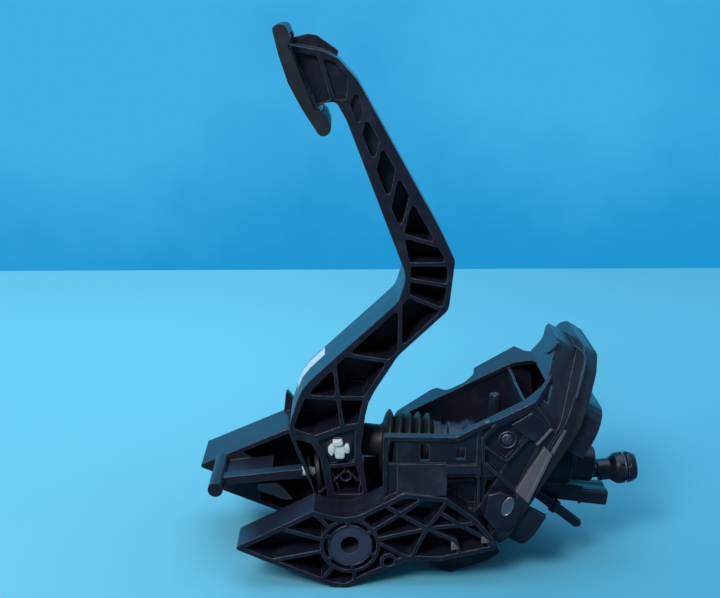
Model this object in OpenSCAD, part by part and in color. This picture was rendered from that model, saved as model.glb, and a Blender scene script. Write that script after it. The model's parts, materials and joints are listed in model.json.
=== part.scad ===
// Clutch pedal with its bracket and master cylinder.
// The frame is the pedal's resting place on a bench: X points to the bulkhead, Y along the pivot
// away from the viewer, Z up. The origin is the middle of the pivot. In a car it hangs the other way up.

/* [Pivot] */
// Diameter of the hollow pivot pin
pivot_d = 26; // [22:0.5:27]
// Bore through the pivot pin
pivot_bore = 11.6; // [8:0.2:14]
// Outer diameter of the bearing ring on the near cheek
ring_d = 37; // [36:0.5:40]
// Diameter of the pedal's hub
hub_d = 40; // [38:0.5:41]
// Width of the pedal's hub and lower arm
hub_w = 42; // [40:0.5:43]
// Running clearance of the hub's bushes on the pin, on the radius
bush_gap = 0.05; // [0.03:0.01:0.09]
// Wall of the hub's bushes
bush_wall = 2.5; // [2:0.1:3]

/* [Pedal arm] */
// Thickness of the arm's ribs
rib_t = 2.4; // [1.8:0.1:3]
// Width of the arm at the pad
arm_top_w = 30; // [28:0.5:34]
// Thickness of the arm's middle web
web_t = 3; // [2:0.1:4]
// Distance of the web from the middle of the arm
web_y = 9; // [8:0.5:10]

/* [Pad] */
// Width of the rubber pad
pad_w = 56; // [50:1:66]
// Thickness of the stiff plate inside the pad
plate_t = 3.4; // [3:0.1:4]
// Thickness of the rubber in front of the plate
tread_t = 4.6; // [4:0.2:6]

/* [Clevis] */
// Place of the pushrod's pin along X
clip_x = -6.6; // [-7:0.2:-6]
// Height of the pushrod's pin
clip_z = 53; // [52.4:0.2:53.6]
// Diameter of the pushrod's pin
clip_d = 8; // [7:0.2:9]
// Width of the pushrod's eye
eye_w = 9; // [8:0.2:9.6]
// Width across the pin's snap fingers
clip_head = 13.4; // [12:0.2:15]

/* [Master cylinder] */
// Tilt of the cylinder below level
cyl_tilt = 7; // [6.5:0.1:7.5]
// Bore of the cylinder
bore_d = 19.05; // [17.8:0.05:20]
// Outer diameter of the cylinder's barrel
barrel_d = 31; // [30:0.5:32]
// Outer diameter of the dust boot
boot_d = 42; // [38:0.5:44]
// Pitch of the dust boot's folds
boot_pitch = 6.2; // [5.8:0.1:6.3]
// Clearance of the piston in its bore, on the radius
piston_gap = 0.04; // [0.02:0.01:0.08]

/* [Bracket] */
// Outer face of the near cheek, from the middle
near_out = 48; // [47:0.5:50]
// Gap between each cheek and the end of the pedal's hub
cheek_gap = 2; // [1.5:0.1:3]
// Outer face of the far cheek, from the middle
far_out = 64; // [60:1:68]
// Wall thickness of the bracket
wall = 3; // [2.5:0.1:3.5]
// Inner face of the trough on the near side, from the middle
trough_near = 37; // [36:0.5:38]
// Inner face of the trough on the far side, from the middle
trough_far = 31; // [30:0.5:32]
// Diameter of the peg on the far cheek
peg_d = 9.6; // [8:0.2:11]

/* [Bulkhead flange] */
// Lean of the flange from upright
flange_lean = 29; // [28:0.5:30]
// Thickness of the flange's rim
flange_t = 6; // [5:0.5:7]
// Thickness of the bulkhead seal
seal_t = 4; // [3:0.5:5]
// Depth of the box behind the rim
box_deep = 15; // [13:0.5:16]
// Corner radius of the spigot that enters the bulkhead
spigot_r = 21; // [18:0.5:24]
// Height of the spigot
spigot_h = 14; // [10:0.5:16]
// Outer diameter of the compression sleeves
sleeve_d = 14; // [12:0.5:15]

/* [Hidden] */
$fn = 64;

black = [0.10, 0.10, 0.11];
soft_black = [0.06, 0.06, 0.06];
white = [0.92, 0.92, 0.88];
steel = [0.72, 0.73, 0.75];
near_in = hub_w / 2 + cheek_gap;

// Plane geometry

function unit(v) = v / norm(v);
function turn_of(a, b) = ((b - a + 540) % 360) - 180;

// The points of one corner [x, y, radius] between its two neighbours
function corner(a, p, b) =
    let (m = [p.x, p.y], u = unit([a.x, a.y] - m), w = unit([b.x, b.y] - m),
         half = acos(max(-1, min(1, u * w))) / 2)
    p.z == 0 || half > 89 ? [m] :
    let (room = 0.49 * min(norm([a.x, a.y] - m), norm([b.x, b.y] - m)),
         t = min(p.z / tan(half), room),
         r = t * tan(half),
         c = m + unit(u + w) * r / sin(half),
         s = m + u * t - c,
         e = m + w * t - c,
         a0 = atan2(s.y, s.x),
         sweep = turn_of(a0, atan2(e.y, e.x)),
         n = max(2, ceil(abs(sweep) / (r > 9 ? 15 : 30))))
    [for (i = [0 : n]) c + r * [cos(a0 + sweep * i / n), sin(a0 + sweep * i / n)]];

// An outline from corners [x, y, radius]
function rounded(p) =
    let (n = len(p)) [for (i = [0 : n - 1]) each corner(p[(i + n - 1) % n], p[i], p[(i + 1) % n])];

function twice_area(p) =
    let (n = len(p), c = [for (i = [0 : n - 1]) p[i].x * p[(i + 1) % n].y - p[i].y * p[(i + 1) % n].x])
    c * [for (v = c) 1];

// The same outline, moved inwards by d, with each corner's radius kept true
function inset(p, d) =
    let (n = len(p), s = sign(twice_area(p)))
    [for (i = [0 : n - 1])
        let (a = p[(i + n - 1) % n], b = p[i], c = p[(i + 1) % n],
             u = unit([b.x - a.x, b.y - a.y]), w = unit([c.x - b.x, c.y - b.y]),
             nu = s * [-u.y, u.x], nw = s * [-w.y, w.x],
             q = [b.x, b.y] + (nu + nw) * d / (1 + nu * nw),
             bend = s * (u.x * w.y - u.y * w.x) > 0 ? -d : d)
        [q.x, q.y, max(b.z + bend, 0.4)]];

// A cell between ribs, from the points where the ribs' middle lines cross
function cell(p, d, r) = rounded([for (q = inset([for (v = p) [v.x, v.y, 0]], d)) [q.x, q.y, r]]);

// Placing

// A profile drawn in X and Z, from y0 to y1
module slab(y0, y1) translate([0, y1, 0]) rotate([90, 0, 0]) linear_extrude(y1 - y0) children();

// A profile drawn in Y and Z, from x0 to x1
module across(x0, x1) translate([x0, 0, 0]) rotate([90, 0, 90]) linear_extrude(x1 - x0) children();

// A round bar along Y
module bar_y(x, z, y0, y1, d) translate([x, y1, z]) rotate([90, 0, 0]) cylinder(h = y1 - y0, d = d);

// A rib's footprint between two points
module strip(a, b, t) {
    v = b - a;
    translate(a) rotate(atan2(v.y, v.x)) translate([-t / 4, -t / 2]) square([norm(v) + t / 2, t]);
}

// A place along the cylinder's axis, at a distance from the pushrod's pin
module on_axis(s) translate([clip_x, 0, clip_z]) rotate([0, 90 + cyl_tilt, 0]) translate([0, 0, s]) children();
function axis_z(x) = clip_z - (x - clip_x) * tan(cyl_tilt);

// The flange's own frame: X out through the bulkhead, Y as before, Z up along its face
flange_foot = [96.4, 0, 1.1];
module on_flange() translate(flange_foot) rotate([0, flange_lean, 0]) children();

// Pedal arm

arm_outline = [
    [-35, 300.5, 1], [-14, 296.8, 20], [-6, 292.8, 10], [5.4, 280.4, 16],
    [55, 192.5, 70], [63.8, 174, 5], [60.5, 143.5, 8], [30, 114.5, 22],
    [11, 84, 40], [7, 52, 30], [13, 12, 4], [-18, 12, 4],
    [-29, 40, 30], [-38.5, 66, 18], [-30, 93, 30], [-16, 106.5, 20],
    [30, 149, 12], [34.6, 164.6, 14], [-1, 257, 9],
    [-7, 268, 4], [-13.5, 267.5, 3], [-19.4, 264.2, 0.6], [-30.5, 281, 0]
];

// Crossing points of the ribs' middle lines, up the right rim and down the left
right_rim = [
    [5, 279], [9.9, 262.4], [19.3, 245.8], [28.7, 228.8], [37.2, 213.4], [54.6, 182.8],
    [60.6, 171.8], [60.6, 158.3], [57.6, 143.2], [50, 135.8], [31, 117.2], [24.8, 110.6],
    [9.8, 86.8], [6.6, 69.6]
];
left_rim = [
    [-0.6, 266.4], [6.6, 249.4], [15.2, 228.6], [24, 205.6], [31.4, 189.6], [35.6, 171.6],
    [35.8, 162.4], [35.4, 152.6], [31, 147], [-2.6, 115.2], [-9, 109], [-28.6, 88.2]
];
spine = [[-6.9, 86.8], [-4.2, 67.4]];

arm_cells = [
    [right_rim[0], right_rim[1], left_rim[1], left_rim[0]],
    [right_rim[1], right_rim[2], left_rim[2], left_rim[1]],
    [right_rim[2], right_rim[3], left_rim[3], left_rim[2]],
    [right_rim[3], right_rim[4], left_rim[4], left_rim[3]],
    [right_rim[4], right_rim[5], left_rim[4]],
    [left_rim[4], right_rim[5], right_rim[6], left_rim[5]],
    [left_rim[5], right_rim[6], right_rim[7], left_rim[6]],
    [left_rim[6], right_rim[7], right_rim[8], left_rim[7]],
    [left_rim[7], right_rim[8], right_rim[9], right_rim[10], left_rim[8]],
    [left_rim[8], right_rim[10], right_rim[11], left_rim[9]],
    [left_rim[9], right_rim[11], right_rim[12], spine[0], left_rim[10]],
    [left_rim[10], spine[0], left_rim[11]],
    [left_rim[11], spine[0], spine[1], [-22, 60.8], [-36.6, 66.4]],
    [spine[0], right_rim[12], right_rim[13], spine[1]]
];
// The two cells behind the pad
head_cells = [
    [[-34, 298.4], [-17, 295], [-14.6, 288], [-8.8, 268.6], [-18.6, 265]],
    [[-17, 295], [-7, 291.4], [1, 282.6], [-0.4, 267.6], [-8.8, 268.6], [-14.6, 288]]
];
// The open end of the arm: shallow round the clevis, deep below it
clevis_cell = [[-20.5, 58.5, 2], [-4.2, 64.6, 6], [3.6, 66.4, 1.5], [3.4, 44, 2], [-12.6, 42, 2], [-15, 50, 2]];
foot_cell = [[-14, 39.6, 1.5], [4.4, 41.6, 2], [9, 22, 1.5], [-9, 22, 1.5]];
clevis_deep = 3;
bumper_cell = [[-34.6, 60.4, 1.5], [-23.6, 56.6, 2], [-18.4, 47, 1.5], [-13.4, 18, 1], [-20.4, 17, 1], [-27, 41, 20]];

module arm_body() intersection() {
    union() {
        slab(-hub_w / 2, hub_w / 2) polygon(rounded(arm_outline));
        bar_y(0, 0, -hub_w / 2, hub_w / 2, hub_d);
    }
    across(-60, 90) polygon([
        [-hub_w / 2, -30], [hub_w / 2, -30], [hub_w / 2, 150], [arm_top_w / 2, 290],
        [arm_top_w / 2, 320], [-arm_top_w / 2, 320], [-arm_top_w / 2, 290], [-hub_w / 2, 150]
    ]);
}

// The pockets of one side of the arm
module arm_pockets() {
    for (c = arm_cells) polygon(cell(c, rib_t / 2, 1.6));
    for (c = head_cells) polygon(cell(c, rib_t / 2, 1.6));
    polygon(rounded(foot_cell));
    polygon(rounded(bumper_cell));
}

// The pad is a crescent: a stiff plate moulded with the arm, and a rubber cover that hooks round it
plate_line = [[-38.6, 308.5, 0], [-31.6, 281, 90], [-14.4, 255.5, 0]];
function reversed(p) = [for (i = [len(p) - 1 : -1 : 0]) p[i]];
function shifted(p, d) =
    [for (i = [0 : len(p) - 1])
        let (a = p[max(i - 1, 0)], b = p[min(i + 1, len(p) - 1)], u = unit([b.x - a.x, b.y - a.y]))
        [p[i].x + u.y * d, p[i].y - u.x * d, p[i].z]];
plate_profile = concat(plate_line, reversed(shifted(plate_line, -plate_t)));
cover_profile = [
    [-43.4, 312, 5], [-35.6 - (tread_t - 4.6), 279, 100], [-15.6, 248, 5], [-9.4, 252.5, 4], [-12.2, 260.5, 2],
    [-15.6, 263.6, 1], [-19.3, 264.4, 0], [-31.2, 294, 0], [-34, 300, 0], [-32.4, 304.5, 2], [-35.6, 312, 3]
];

// What lies inside the pad's rounded rectangle, seen square to its face
pad_centre = [-30, 280];
pad_lean = 24;
module pad_window(w, h, r) translate([pad_centre.x, 0, pad_centre.y]) rotate([0, pad_lean + 180, 0])
    across(-60, 60) polygon(rounded([[-w / 2, -h / 2, r], [w / 2, -h / 2, r], [w / 2, h / 2, r], [-w / 2, h / 2, r]]));

pad_h = 90;
cover_wall = 2.2;
module pad_plate() intersection() {
    slab(-pad_w, pad_w) polygon(rounded(plate_profile));
    pad_window(pad_w - 2 * cover_wall, pad_h, 8);
}

// Rest stop

stop_mid = [-18.2, 32];
stop_tilt = 7;
stop_y = -5;
stop_w = 8;
bumper_d = 27;
bumper_t = 3.2;
plug_d = 6.4;
module at_stop() translate([stop_mid.x, stop_y, stop_mid.y]) rotate([0, 90 - stop_tilt, 0]) children();

// Clearance for the pushrod as the arm turns round it
rod_d = 9;
eye_d = 17;
boot_start = 15;
boot_neck_d = 21;
module clevis_window() {
    module at_pin() translate([clip_x, clip_z]) children();
    reach = norm([boot_start, boot_neck_d / 2]) + 16;
    slab(-boot_neck_d / 2 - 1.5, boot_neck_d / 2 + 1.5) at_pin() difference() {
        intersection() {
            circle(r = reach);
            polygon([[0, 0], [reach * 2, -reach * 2], [reach * 2, reach * 3]]);
        }
        circle(r = boot_start - 2);
    }
    slab(-eye_w / 2 - 0.5, eye_w / 2 + 0.5) at_pin() {
        circle(d = eye_d + 1.5);
        polygon([[0, -rod_d / 2 - 5], [boot_start + 1, -rod_d / 2 - 5], [boot_start + 1, rod_d / 2 + 7], [0, rod_d / 2 + 7]]);
    }
}

module arm_relief() difference() {
    arm_pockets();
    circle(d = hub_d);
    translate([clip_x, clip_z]) circle(d = clip_d + 8);
    strip(stop_mid + [3.6, 16], stop_mid + [7, -12], rib_t);
}

module pedal_arm() color(black) {
    difference() {
        arm_body();
        slab(-hub_w, web_y) arm_relief();
        slab(web_y + web_t, hub_w) arm_relief();
        for (m = [0, 1]) mirror([0, m, 0]) slab(hub_w / 2 - clevis_deep, hub_w) difference() {
            polygon(rounded(clevis_cell));
            translate([clip_x, clip_z]) circle(d = clip_d + 8);
        }
        bar_y(0, 0, -hub_w, hub_w, pivot_d + 2 * bush_gap + 2 * bush_wall);
        bar_y(clip_x, clip_z, -hub_w, hub_w, clip_d);
        clevis_window();
        slab(stop_y - stop_w / 2 - 1.5, stop_y + stop_w / 2 + 1.5)
            polygon([[-40, 20], [-21.5, 18], [-21.5, 40], [-40, 42]]);
        at_stop() translate([0, 0, -bumper_t - 1]) cylinder(h = bumper_t + 2, d = bumper_d + 1);
        at_stop() cylinder(h = 12, d = 5);
    }
    pad_plate();
    slab(arm_top_w / 2 - 6, arm_top_w / 2 - 3) polygon(rounded([
        [-34.6, 297, 0], [-35.4, 303, 1], [-24, 305.6, 3], [-18.5, 304.8, 3], [-5.2, 295.6, 2], [-8, 290, 0]
    ]));
}

module near_bush() color(soft_black) hub_bush(-1);
module far_bush() color(soft_black) hub_bush(1);
bush_l = 14;
bush_lip = 1.2;
module hub_bush(side) rotate([side * 90, 0, 0])
    translate([0, 0, -hub_w / 2 - bush_lip]) difference() {
        union() {
            cylinder(h = bush_lip, d = hub_d - 4);
            cylinder(h = bush_l + bush_lip, d = pivot_d + 2 * bush_gap + 2 * bush_wall);
        }
        translate([0, 0, -1]) cylinder(h = bush_l + bush_lip + 2, d = pivot_d + 2 * bush_gap);
    }

module pad_cover() color(soft_black) {
    difference() {
        intersection() {
            slab(-pad_w, pad_w) polygon(rounded(cover_profile));
            pad_window(pad_w, pad_h + 10, 11);
        }
        pad_plate();
        slab(-arm_top_w / 2 - 1.6, arm_top_w / 2 + 1.6) polygon([
            [-36.4, 303.6], [-31.4, 281], [-19.5, 263], [-10, 262], [-10, 300], [-30, 311]
        ]);
        tread_grooves();
    }
}
groove_t = 2;
groove_deep = 1;
groove_pitch = 7;
module tread_grooves() slab(-pad_w / 2 + 5, pad_w / 2 - 5) intersection() {
    difference() {
        translate(-2 * [cos(pad_lean), sin(pad_lean)]) polygon(rounded(cover_profile));
        translate(groove_deep * [cos(pad_lean), sin(pad_lean)]) polygon(rounded(cover_profile));
    }
    translate(pad_centre) rotate(pad_lean) for (k = [-4 : 4]) translate([-20, k * groove_pitch - groove_t / 2])
        square([20, groove_t]);
}

module rest_bumper() color(soft_black) at_stop() {
    translate([0, 0, -bumper_t]) rotate_extrude() polygon([
        [0, 0.8], [3, 0], [bumper_d / 2 - 1.5, 0], [bumper_d / 2, 1], [bumper_d / 2, bumper_t], [0, bumper_t]
    ]);
    cylinder(h = 3.4, d = 4.8);
}

module clevis_pin() color(white) {
    shank = hub_w / 2;
    head_t = 3.4;
    bar_y(clip_x, clip_z, -shank, shank, clip_d);
    translate([clip_x, -shank, clip_z]) rotate([90, 0, 0]) {
        difference() {
            cylinder(h = head_t, d = clip_head);
            for (a = [45 : 90 : 315]) rotate(a + 8) translate([4.4, -1.5, 1]) cube([10, 3, head_t]);
            translate([0, 0, head_t - 1.2]) cylinder(h = 3, d = 4.4);
        }
    }
}

label_t = 0.3;
module arm_label() color(white) slab(4, 18) difference() {
    intersection() {
        polygon(rounded(inset(arm_outline, -label_t)));
        polygon([[-50, 84], [-20, 84], [-20, 96], [-10, 104], [-20, 110], [-50, 110]]);
    }
    polygon(rounded(arm_outline));
}

// Pushrod: an eye on the clevis pin, a rod and a ball in the piston's socket
ball_d = 9;
ball_s = 69;
module pushrod() color(black) {
    difference() {
        union() {
            on_axis(0) rotate([90, 0, 0]) translate([0, 0, -eye_w / 2]) cylinder(h = eye_w, d = eye_d);
            on_axis(6) cylinder(h = ball_s - 9, d = rod_d - 1);
        }
        bar_y(clip_x, clip_z, -eye_w, eye_w, clip_d + 0.1);
    }
    on_axis(ball_s - 6) cylinder(h = 6, d = 5);
    on_axis(ball_s) sphere(d = ball_d);
}

// Bracket

near_outline = [
    [-72, -1, 1.5], [-22.2, 24, 1], [-19, 22.5, 2], [0, 17.5, 60], [33, 35, 3], [59, 31.7, 4],
    [79, 16.5, 40], [91, 1, 3], [89.6, -3.6, 2], [56, -11, 6], [34.5, -10, 4], [5.5, -24.5, 8],
    [-2, -29, 8], [-11, -28, 10], [-54.5, -9, 20]
];
near_ribs = [
    [[-12, 12], [-24, 24]], [[-46, 13], [-16, 4]], [[-50, -10], [-17, -3.6]], [[-11, -15], [-19, -25]],
    [[2.4, -17], [3.1, -27]], [[-4.9, 22], [-4, 16]], [[9.2, 24], [7, 16]], [[14, 10], [30.7, 21]],
    [[30.7, 21], [49, 34]], [[20, 28], [30.7, 21]], [[30.7, 21], [47.4, 11.2]],
    [[47.4, 11.2], [64.8, 2.8]], [[64.8, 2.8], [69, -8]], [[18, 4.4], [47.4, 11.2]],
    [[47.4, 11.2], [81, 15]], [[47.4, 11.2], [55.2, 21.9]], [[55.2, 21.9], [60, 31]],
    [[47.4, 11.2], [37.4, -10]], [[55.2, 21.9], [66.4, 14.4]], [[66.4, 14.4], [80.2, 6.1]],
    [[80.2, 6.1], [88, -1]], [[18, 1.5], [38, -10]]
];
cheek_floor = 4;

module near_cheek() {
    difference() {
        slab(-near_out, -near_in) polygon(rounded(near_outline));
        slab(-near_out - 1, -near_in - cheek_floor) difference() {
            polygon(rounded(inset(near_outline, wall)));
            circle(d = ring_d);
            for (r = near_ribs) strip(r[0], r[1], rib_t);
            translate([24, -11]) circle(d = 11);
        }
        slab(-near_out - 1, -near_out + 9) difference() {
            circle(d = ring_d - 4.4);
            circle(d = pivot_d + 1.6);
            for (a = [35 : 60 : 335]) rotate(a) translate([0, -1.2]) square([ring_d / 2, 2.4]);
        }
        bar_y(24, -11, -near_out - 1, -near_in + 1, 6.2);
    }
}

// Height of the trough's sloping top
function top_z(x) = 57 + 0.515 * (x - 40);

far_outline = [
    [-102, 22, 1.5], [-41, 48.2, 3], [-24, 46, 8], [-8, 27, 8], [66, 30, 8], [84, 0, 10], [88, -20, 4],
    [64, -29, 4], [-2, -29, 8], [-11, -28, 10], [-48.6, -11.4, 20], [-85.5, 4.1, 2], [-92.4, 18, 1]
];
far_face = [[-102, 22, 1], [-75, 33.6, 0.5], [-57, 18.6, 2], [-62, -5, 1], [-85.5, 4.1, 1], [-92.4, 18, 1]];
far_ribs = [
    [[-40, 47], [-12, 12]], [[-60, 0], [-18, 4]], [[-20, -26], [-8, -16]], [[8, 27], [5, 18]],
    [[18, 4], [90, 4]], [[12, -12], [40, -29]], [[14, 12], [60, 30]]
];
far_rib_deep = 14;

module far_cheek() {
    difference() {
        slab(near_in + 1, far_out) polygon(rounded(far_outline));
        slab(near_in, far_out - wall) difference() {
            polygon(rounded(inset(far_outline, wall)));
            circle(d = ring_d);
            polygon(rounded(inset(far_face, -1)));
        }
        slab(near_in + 4, far_out + 1) polygon(rounded(inset(far_face, wall)));
    }
    slab(far_out - wall - far_rib_deep, far_out - wall + 0.5) intersection() {
        polygon(rounded(inset(far_outline, 1)));
        difference() {
            for (r = far_ribs) strip(r[0], r[1], rib_t);
            circle(d = pivot_d + 6);
        }
    }
    // Upright fin on the far edge
    slab(far_out - 5, far_out) polygon([[-46, 40], [-43.6, 61], [-42, 61.8], [-38, 56.5], [-36, 42]]);
}

// Stop arm: a peg from the far cheek, and a beam from it to the plug that the pedal rests on
peg_x = -85;
peg_z = 26;
beam_end = -30.5;
module stop_arm() {
    bar_y(peg_x, peg_z, -22, near_in + 2, peg_d);
    slab(stop_y - stop_w / 2, stop_y + stop_w / 2) polygon([
        [peg_x, peg_z + 2.2], [peg_x, peg_z - 3], [beam_end, 28], [beam_end, 34]
    ]);
    slab(stop_y, near_in + 2) polygon([[peg_x + 2, peg_z - 3], [peg_x + 2, peg_z], [beam_end - 20, 29], [beam_end - 20, 26]]);
}

module stop_plug() color([0.75, 0.74, 0.70])
    translate([beam_end, stop_y, 31]) rotate([0, 90, 0]) {
        cylinder(h = 2.2, d = plug_d);
        cylinder(h = 8.6, d1 = plug_d, d2 = plug_d - 1.6);
    }

flange_outline = [
    [-46.5, -8, 16], [-49.8, 86, 10], [-36, 103.5, 14], [-21, 117, 18], [-5, 124.6, 18], [50, 125.2, 20], [64.5, 117.5, 8],
    [64.5, 20, 30], [50, -8, 20]
];
box_outline = [
    [-41, 2, 10], [-44, 82, 10], [4, 119, 10], [34, 120, 1], [37.5, 117, 1.5], [29, 110, 4], [38, 94, 6],
    [46, 80, 6], [56, 20, 26], [44, 2, 16]
];
box_inner = [
    [-38, 5, 7], [-41, 80.6, 7], [5, 116, 7], [25, 116.6, 3], [25.6, 108.6, 3], [35, 93, 4], [43, 79, 4],
    [53, 21, 22], [42.6, 5, 12]
];
spigot_outline = [
    [-46, -4, spigot_r], [-42, 99, spigot_r], [46, 99, spigot_r], [47, -3, spigot_r]
];
flange_back = -seal_t - flange_t;
box_back = flange_back - box_deep;
cyl_hole = barrel_d + 1;

module flange() {
    difference() {
        union() {
            plate(flange_back, -seal_t) rounded_plate(flange_outline);
            plate(box_back, flange_back) rounded_plate(box_outline);
            plate(-seal_t - 1, spigot_h) rounded_plate(spigot_outline);
        }
        plate(box_back + wall, -seal_t - wall) rounded_plate(box_inner);
        plate(-seal_t, spigot_h + 1) rounded_plate(inset(spigot_outline, wall));
        plate(0.5, spigot_h + 1) rounded_plate([[-60, 24, 4], [-16, 30, 8], [-16, 66, 8], [-60, 72, 4]]);
        // The trough's mouth in the back of the box
        plate(box_back - 1, box_back + wall + 1) rounded_plate([
            [-trough_near, 20, 2], [trough_far, 20, 2], [trough_far, 89, 8], [14, 96.5, 8], [-26, 96.5, 8], [-trough_near, 88, 8]
        ]);
        on_axis(body_s + 26) cylinder(h = 73, d = cyl_hole);
        on_axis(100) translate([0, -sensor_w / 2 - 0.5, 0]) cube([sensor_deep + 0.5, sensor_w + 1, 70]);
        on_nipple() cylinder(h = 62, d = 16);
    }
}
module rounded_plate(p) polygon(rounded(p));
module plate(x0, x1) on_flange() across(x0, x1) children();

sleeve_mid = [[-37, 19], [50, 12], [44, 104]];
module sleeve_places() for (m = sleeve_mid)
    on_flange() translate([flange_back - 1, m.x, m.y]) rotate([0, 90, 0]) children();
sleeve_bore = 8.4;
module compression_sleeves() color(steel) sleeve_places() difference() {
    cylinder(h = flange_t + 1, d = sleeve_d);
    translate([0, 0, -1]) cylinder(h = flange_t + 3, d = sleeve_bore);
}

module bulkhead_seal() color(soft_black) difference() {
    plate(-seal_t, 0) rounded_plate(inset(flange_outline, 0.5));
    plate(-seal_t - 1, 1) rounded_plate(inset(flange_outline, 7));
    plate(-seal_t - 1, 1) rounded_plate(inset(spigot_outline, -0.3));
    sleeve_places() translate([0, 0, -1]) cylinder(h = 30, d = sleeve_d + 0.6);
}

// The trough's sloping top, seen from above, and the mouth in it
rim_outline = [
    [64, -43, 1], [80, -43, 3], [88, -46.5, 3], [111, -46.5, 4], [126, -20, 20], [127, 20, 10], [121, 34, 3],
    [118, 40, 3], [113.8, 56.7, 1.5], [86, 52.5, 1], [84.5, 42, 4], [78, 35.6, 6], [66, 36.4, 6], [60.5, 49.6, 1.5],
    [56.7, 51.2, 3], [33, 43, 1], [33, trough_far, 0], [64, trough_far, 0]
];
mouth = [
    [28, -trough_near, 0], [106, -trough_near, 10], [121, -27, 16], [124, -3, 16], [120, 18, 16],
    [108, trough_far - 1, 14], [28, trough_far + 0.4, 0]
];
slope = atan(0.515);
module on_top(down) translate([40, 0, 57]) rotate([0, -slope, 0]) translate([0, 0, -down]) children();
function flat(p) = rounded([for (q = p) [(q.x - 40) / cos(slope), q.y, q.z]]);

skin_low = 42.5;
near_skin = [
    [20.3, 30, 0], [20.3, 70.4, 1], [64.3, 69.4, 2], [112, top_z(112) - 1, 2], [121, 72, 0], [104, 33, 0],
    [95, skin_low, 0], [60.5, skin_low, 1], [58.5, 24, 0], [26, 24, 0]
];
near_panel = [
    [38, 8, 0], [36, 33, 0], [96, 36, 3], [97.5, 20, 0], [84, -6, 1], [92, -8.6, 1], [96, -15, 2], [88.5, -20.5, 3],
    [64.5, -28.6, 3], [52, -25, 3]
];
near_lip = [[20.3, 70.4, 1], [64.3, 69.4, 2], [70, top_z(70), 0], [70, top_z(70) - 2.6, 0], [64.8, 66.8, 2], [20.3, 67.8, 1]];
hex_outer = [
    [80.2, 54.6, 2], [80, 70, 2], [87.8, 79.6, 2], [111, top_z(111) - 1, 1], [125, 72, 0], [108, 30, 0], [102, 32.4, 0.5]
];
hex_pocket = [[82, 55.4, 2], [81.8, 69, 2], [88.8, 77, 2], [109.8, 86.8, 1.5], [120, 77, 1.5], [102, 35.4, 1]];
hex_out = 46;
hex_rib_t = 1.2;
floor_start = 32;
floor_end = 104;
function floor_z(x) = axis_z(x) - boot_d / 2 - 1.5;

module trough() {
    near_outer = trough_near + wall + 1;
    difference() {
        union() {
            slab(-near_outer, -trough_near - 1) polygon(rounded(near_skin));
            slab(-near_outer - 2, -trough_near) polygon(rounded(near_lip));
            slab(-hex_out, -trough_near) polygon(rounded(hex_outer));
            slab(-near_in - wall - 4, -near_in - 4) polygon(rounded(near_panel));
            across(29, 59) polygon([[-near_outer - 2, 52], [-near_out + 1, 33], [-trough_near - 1, 33], [-trough_near - 1, 52]]);
            across(58, 79.8) polygon([[-near_outer - 2, 51], [-near_outer - 3, 46], [-trough_near - 1, 44], [-trough_near - 1, 51]]);
            slab(-near_outer - 2, -trough_near - 1) strip([79, 76], [78.4, skin_low + 1], 2.4);
            // The shelf under the skin, and the rib below it
            slab(-near_outer, -near_in - 5) strip([59.5, skin_low + wall / 2], [96, skin_low + wall / 2], wall);
            slab(-near_outer, -near_in - 5) strip([79.2, skin_low + 1], [79.8, 22], 1.6);
            slab(-near_outer - 2, -trough_near - 1) strip([21.4, 69], [21.4, 34], 2.2);
        }
        slab(-near_out - 2, -near_outer) difference() {
            polygon(rounded(hex_pocket));
            strip([80, 66], [95.4, 54.6], hex_rib_t);
            strip([95.4, 54.6], [108, 69.6], hex_rib_t);
        }
        for (w = [[23.4, 51.6, 5.2, 16], [43.2, 53.4, 5.2, 11], [65, 54.4, 5.4, 8]])
            slab(-near_out, -trough_near + 1) translate([w[0], w[1]]) square([w[2], w[3]]);
        bar_y(95.9, 67.5, -near_out, -trough_near + 1, 3.6);
    }
    difference() {
        union() {
            on_top(wall) linear_extrude(wall) polygon(flat(rim_outline));
            // The far wall, and the skirt under the rim's outer edge
            slab(trough_far, trough_far + wall) polygon([
                [33, 10], [33, top_z(33) - 1], [120, top_z(120) - 1], [124, 60], [104, 12], [60, 8]
            ]);
        }
        on_top(wall + 20) linear_extrude(wall + 21) polygon(flat(mouth));
    }
    slab(trough_far + wall - 1, 56) for (x = [58, 87.5, 112])
        polygon([[x - 1.2, 26], [x - 1.2, top_z(x) - wall], [x + 1.2, top_z(x) - wall], [x + 1.2, 26]]);
    // Floor under the dust boot and the barrel
    slab(-trough_near - 1.5, trough_far + wall) polygon([
        [floor_start, floor_z(floor_start)], [floor_end, floor_z(floor_end)],
        [floor_end, floor_z(floor_end) - wall], [floor_start, floor_z(floor_start) - wall]
    ]);
    // Cradles that carry the barrel
    for (s = cradle_s) difference() {
        on_axis(s) translate([0, -trough_near - 1.5, 0]) cube([boot_d / 2 + 3, trough_near + trough_far + 2, wall]);
        on_axis(s - 1) cylinder(h = wall + 2, d = barrel_d);
    }
}
cradle_s = [89, 104];

module pedal_bracket() color(black) {
    difference() {
        union() {
            near_cheek();
            far_cheek();
            flange();
            trough();
        }
        bar_y(0, 0, -near_out - 1, far_out + 1, pivot_d);
        sleeve_places() translate([0, 0, -10]) cylinder(h = 40, d = sleeve_d);
    }
    stop_arm();
}

module pivot_pin() color([0.16, 0.16, 0.18]) difference() {
    bar_y(0, 0, -near_out + 1, far_out - 1, pivot_d - 0.02);
    bar_y(0, 0, -near_out, far_out, pivot_bore);
}

module pocket_screws() color([0.2, 0.2, 0.22]) translate([95.9, -trough_near - wall - 1, 67.5]) rotate([90, 0, 0]) {
    difference() {
        cylinder(h = 3.4, d = 8.4);
        translate([0, 0, 1.6]) cylinder(h = 3, d = 4, $fn = 6);
    }
    translate([0, 0, -wall - 1]) cylinder(h = wall + 1, d = 3.6);
}

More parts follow.
